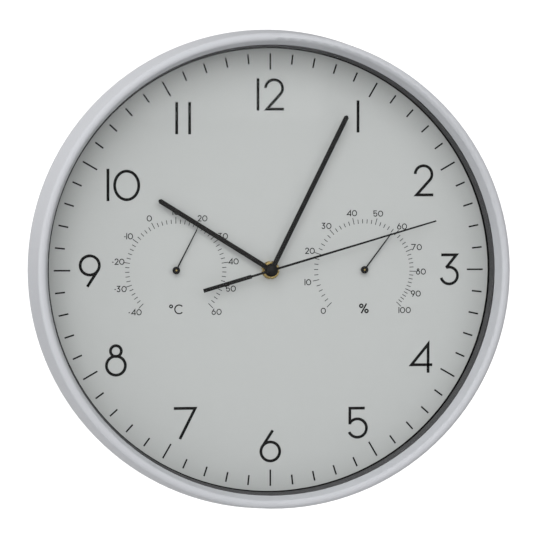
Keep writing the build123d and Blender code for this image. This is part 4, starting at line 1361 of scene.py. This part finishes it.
@dataclass
class Studio:
    """Pale floor, white surroundings, soft boxes and the camera."""

    axis: ClockAxis
    camera_distance: float = 1.841
    camera_azimuth: float = -7.6
    camera_elevation: float = 1.5
    focal_length: float = 197.3
    sensor_width: float = 36.0
    frame_pixels: float = 540.0
    framing_right_pixels: float = -0.3
    floor_drop: float = 0.40
    floor_radius: float = 1.5
    floor_steps: int = 96
    backdrop_strength: float = 1.15
    front_strength: float = 0.85
    rear_strength: float = 0.30
    low_share: float = 0.30
    high_share: float = 1.3
    left_share: float = 1.2
    right_share: float = 0.4
    floor_paint: Finish = MouldedPlastic("floor_paint", (0.72, 0.72, 0.72), roughness=0.8, specular=0.2)
    boxes: tuple[SoftBox, ...] = (
        SoftBox("key_box", (-0.45, -2.0, 1.05), 2.0, 34.0),
        SoftBox("fill_box", (1.3, -2.0, 0.9), 1.2, 9.0),
        SoftBox("side_box", (-2.3, -0.3, 0.3), 1.6, 18.0),
        SoftBox("top_box", (0.0, -0.6, 2.2), 1.6, 8.0),
        SoftBox("rear_box", (-0.9, 1.8, 1.0), 2.0, 10.0),
    )

    @property
    def target(self) -> Vector:
        """Middle of the dial in metres."""
        return Vector((0, -self.axis.dial_height, self.axis.up)) * MM

    def floor(self) -> None:
        """Round pale floor below the clock: a flat fan of triangles about its middle."""
        angle = np.linspace(0, 2 * pi, self.floor_steps, endpoint=False)
        height = self.axis.up * MM - self.floor_drop
        rim = self.floor_radius * np.column_stack((np.cos(angle), np.sin(angle), np.zeros(self.floor_steps)))
        corners = np.vstack((rim, (0, 0, 0))) + (0, 0, height)
        here = np.arange(self.floor_steps)
        faces = np.column_stack((here, np.roll(here, -1), np.full(self.floor_steps, self.floor_steps)))
        mesh = bpy.data.meshes.new("studio_floor")
        mesh.from_pydata(corners.tolist(), [], faces.tolist())
        mesh.materials.append(self.floor_paint.material())
        ground = bpy.data.objects.new("studio_floor", mesh)
        bpy.context.scene.collection.objects.link(ground)

    def surroundings(self) -> None:
        """White backdrop for the eye; as light, brighter at the left, in front and above than opposite.

        The light's strength is the product of three even spreads, one along each axis.
        """
        world = bpy.data.worlds.new("studio")
        bpy.context.scene.world = world
        world.use_nodes = True
        nodes, links = world.node_tree.nodes, world.node_tree.links
        light = nodes["Background"]
        backdrop = nodes.new("ShaderNodeBackground")
        backdrop.inputs["Strength"].default_value = self.backdrop_strength
        backdrop.inputs["Color"].default_value = (1, 1, 1, 1)
        light.inputs["Color"].default_value = (1, 1, 1, 1)
        direction = nodes.new("ShaderNodeSeparateXYZ")
        links.new(nodes.new("ShaderNodeTexCoord").outputs["Generated"], direction.inputs["Vector"])
        spreads = {
            "X": (self.left_share, self.right_share),
            "Y": (self.front_strength, self.rear_strength),
            "Z": (self.low_share, self.high_share),
        }
        strength = light.inputs["Strength"]
        for along, (low, high) in spreads.items():
            spread = nodes.new("ShaderNodeMapRange")
            spread.inputs["From Min"].default_value = -1.0
            spread.inputs["To Min"].default_value = low
            spread.inputs["To Max"].default_value = high
            links.new(direction.outputs[along], spread.inputs["Value"])
            product = nodes.new("ShaderNodeMath")
            product.operation = "MULTIPLY"
            links.new(spread.outputs["Result"], product.inputs[0])
            links.new(product.outputs["Value"], strength)
            strength = product.inputs[1]
        strength.default_value = 1.0
        mix = nodes.new("ShaderNodeMixShader")
        links.new(nodes.new("ShaderNodeLightPath").outputs["Is Camera Ray"], mix.inputs["Fac"])
        links.new(light.outputs["Background"], mix.inputs[1])
        links.new(backdrop.outputs["Background"], mix.inputs[2])
        links.new(mix.outputs["Shader"], nodes["World Output"].inputs["Surface"])

    def camera(self) -> None:
        """Camera a little to the left of the clock's axis and a little above it."""
        lens = bpy.data.cameras.new("camera")
        lens.lens, lens.sensor_width = self.focal_length, self.sensor_width
        lens.shift_x = self.framing_right_pixels / self.frame_pixels
        holder = bpy.data.objects.new("camera", lens)
        bpy.context.scene.collection.objects.link(holder)
        turn, rise = radians(self.camera_azimuth), radians(self.camera_elevation)
        back = Vector((cos(rise) * sin(turn), -cos(rise) * cos(turn), sin(rise)))
        holder.location = self.target + self.camera_distance * back
        holder.rotation_euler = (-back).to_track_quat("-Z", "Y").to_euler()
        bpy.context.scene.camera = holder

    def build(self) -> None:
        """Sets up the studio."""
        self.floor()
        self.surroundings()
        for box in self.boxes:
            box.build(self.target)
        self.camera()
        bpy.context.scene.view_settings.view_transform = "Standard"


def main() -> None:
    """Builds the sub-assemblies in order, then the studio."""
    logging.basicConfig(level=logging.INFO, format="%(name)s: %(message)s")
    axis = ClockAxis.from_frame()
    black_ink = Ink("black_ink", (0.006, 0.0058, 0.0058)).material()
    dial = DialPrint(axis, PenFace(), black_ink)
    Case(axis).build()
    dial.build()
    fine_pen = PenFace(pen_share=0.14, gap_share=0.10)
    degrees_per_ten, celsius_at_top = 27.1, 10
    celsius = {value: degrees_per_ten * (value - celsius_at_top) / 10 for value in range(-40, 70, 10)}
    humidity_angles = (-134.9, -102.2, -70.8, -40.8, -12.4, 14.5, 41.8, 67.2, 92.0, 114.5, 134.4)
    humidity = dict(zip(range(0, 110, 10), humidity_angles))
    bold_pen = PenFace(pen_share=0.15)
    offset = 59.0
    ScalePrint("thermometer_scale", -offset, "°C", celsius, dial, fine_pen).build()
    ScalePrint("hygrometer_scale", offset, "%", humidity, dial, fine_pen, sign_face=bold_pen).build()
    Hands(axis).build()
    Instruments(axis).build()
    Movement(axis).build()
    Battery().build()
    Studio(axis).build()


if __name__ == "__main__":
    main()
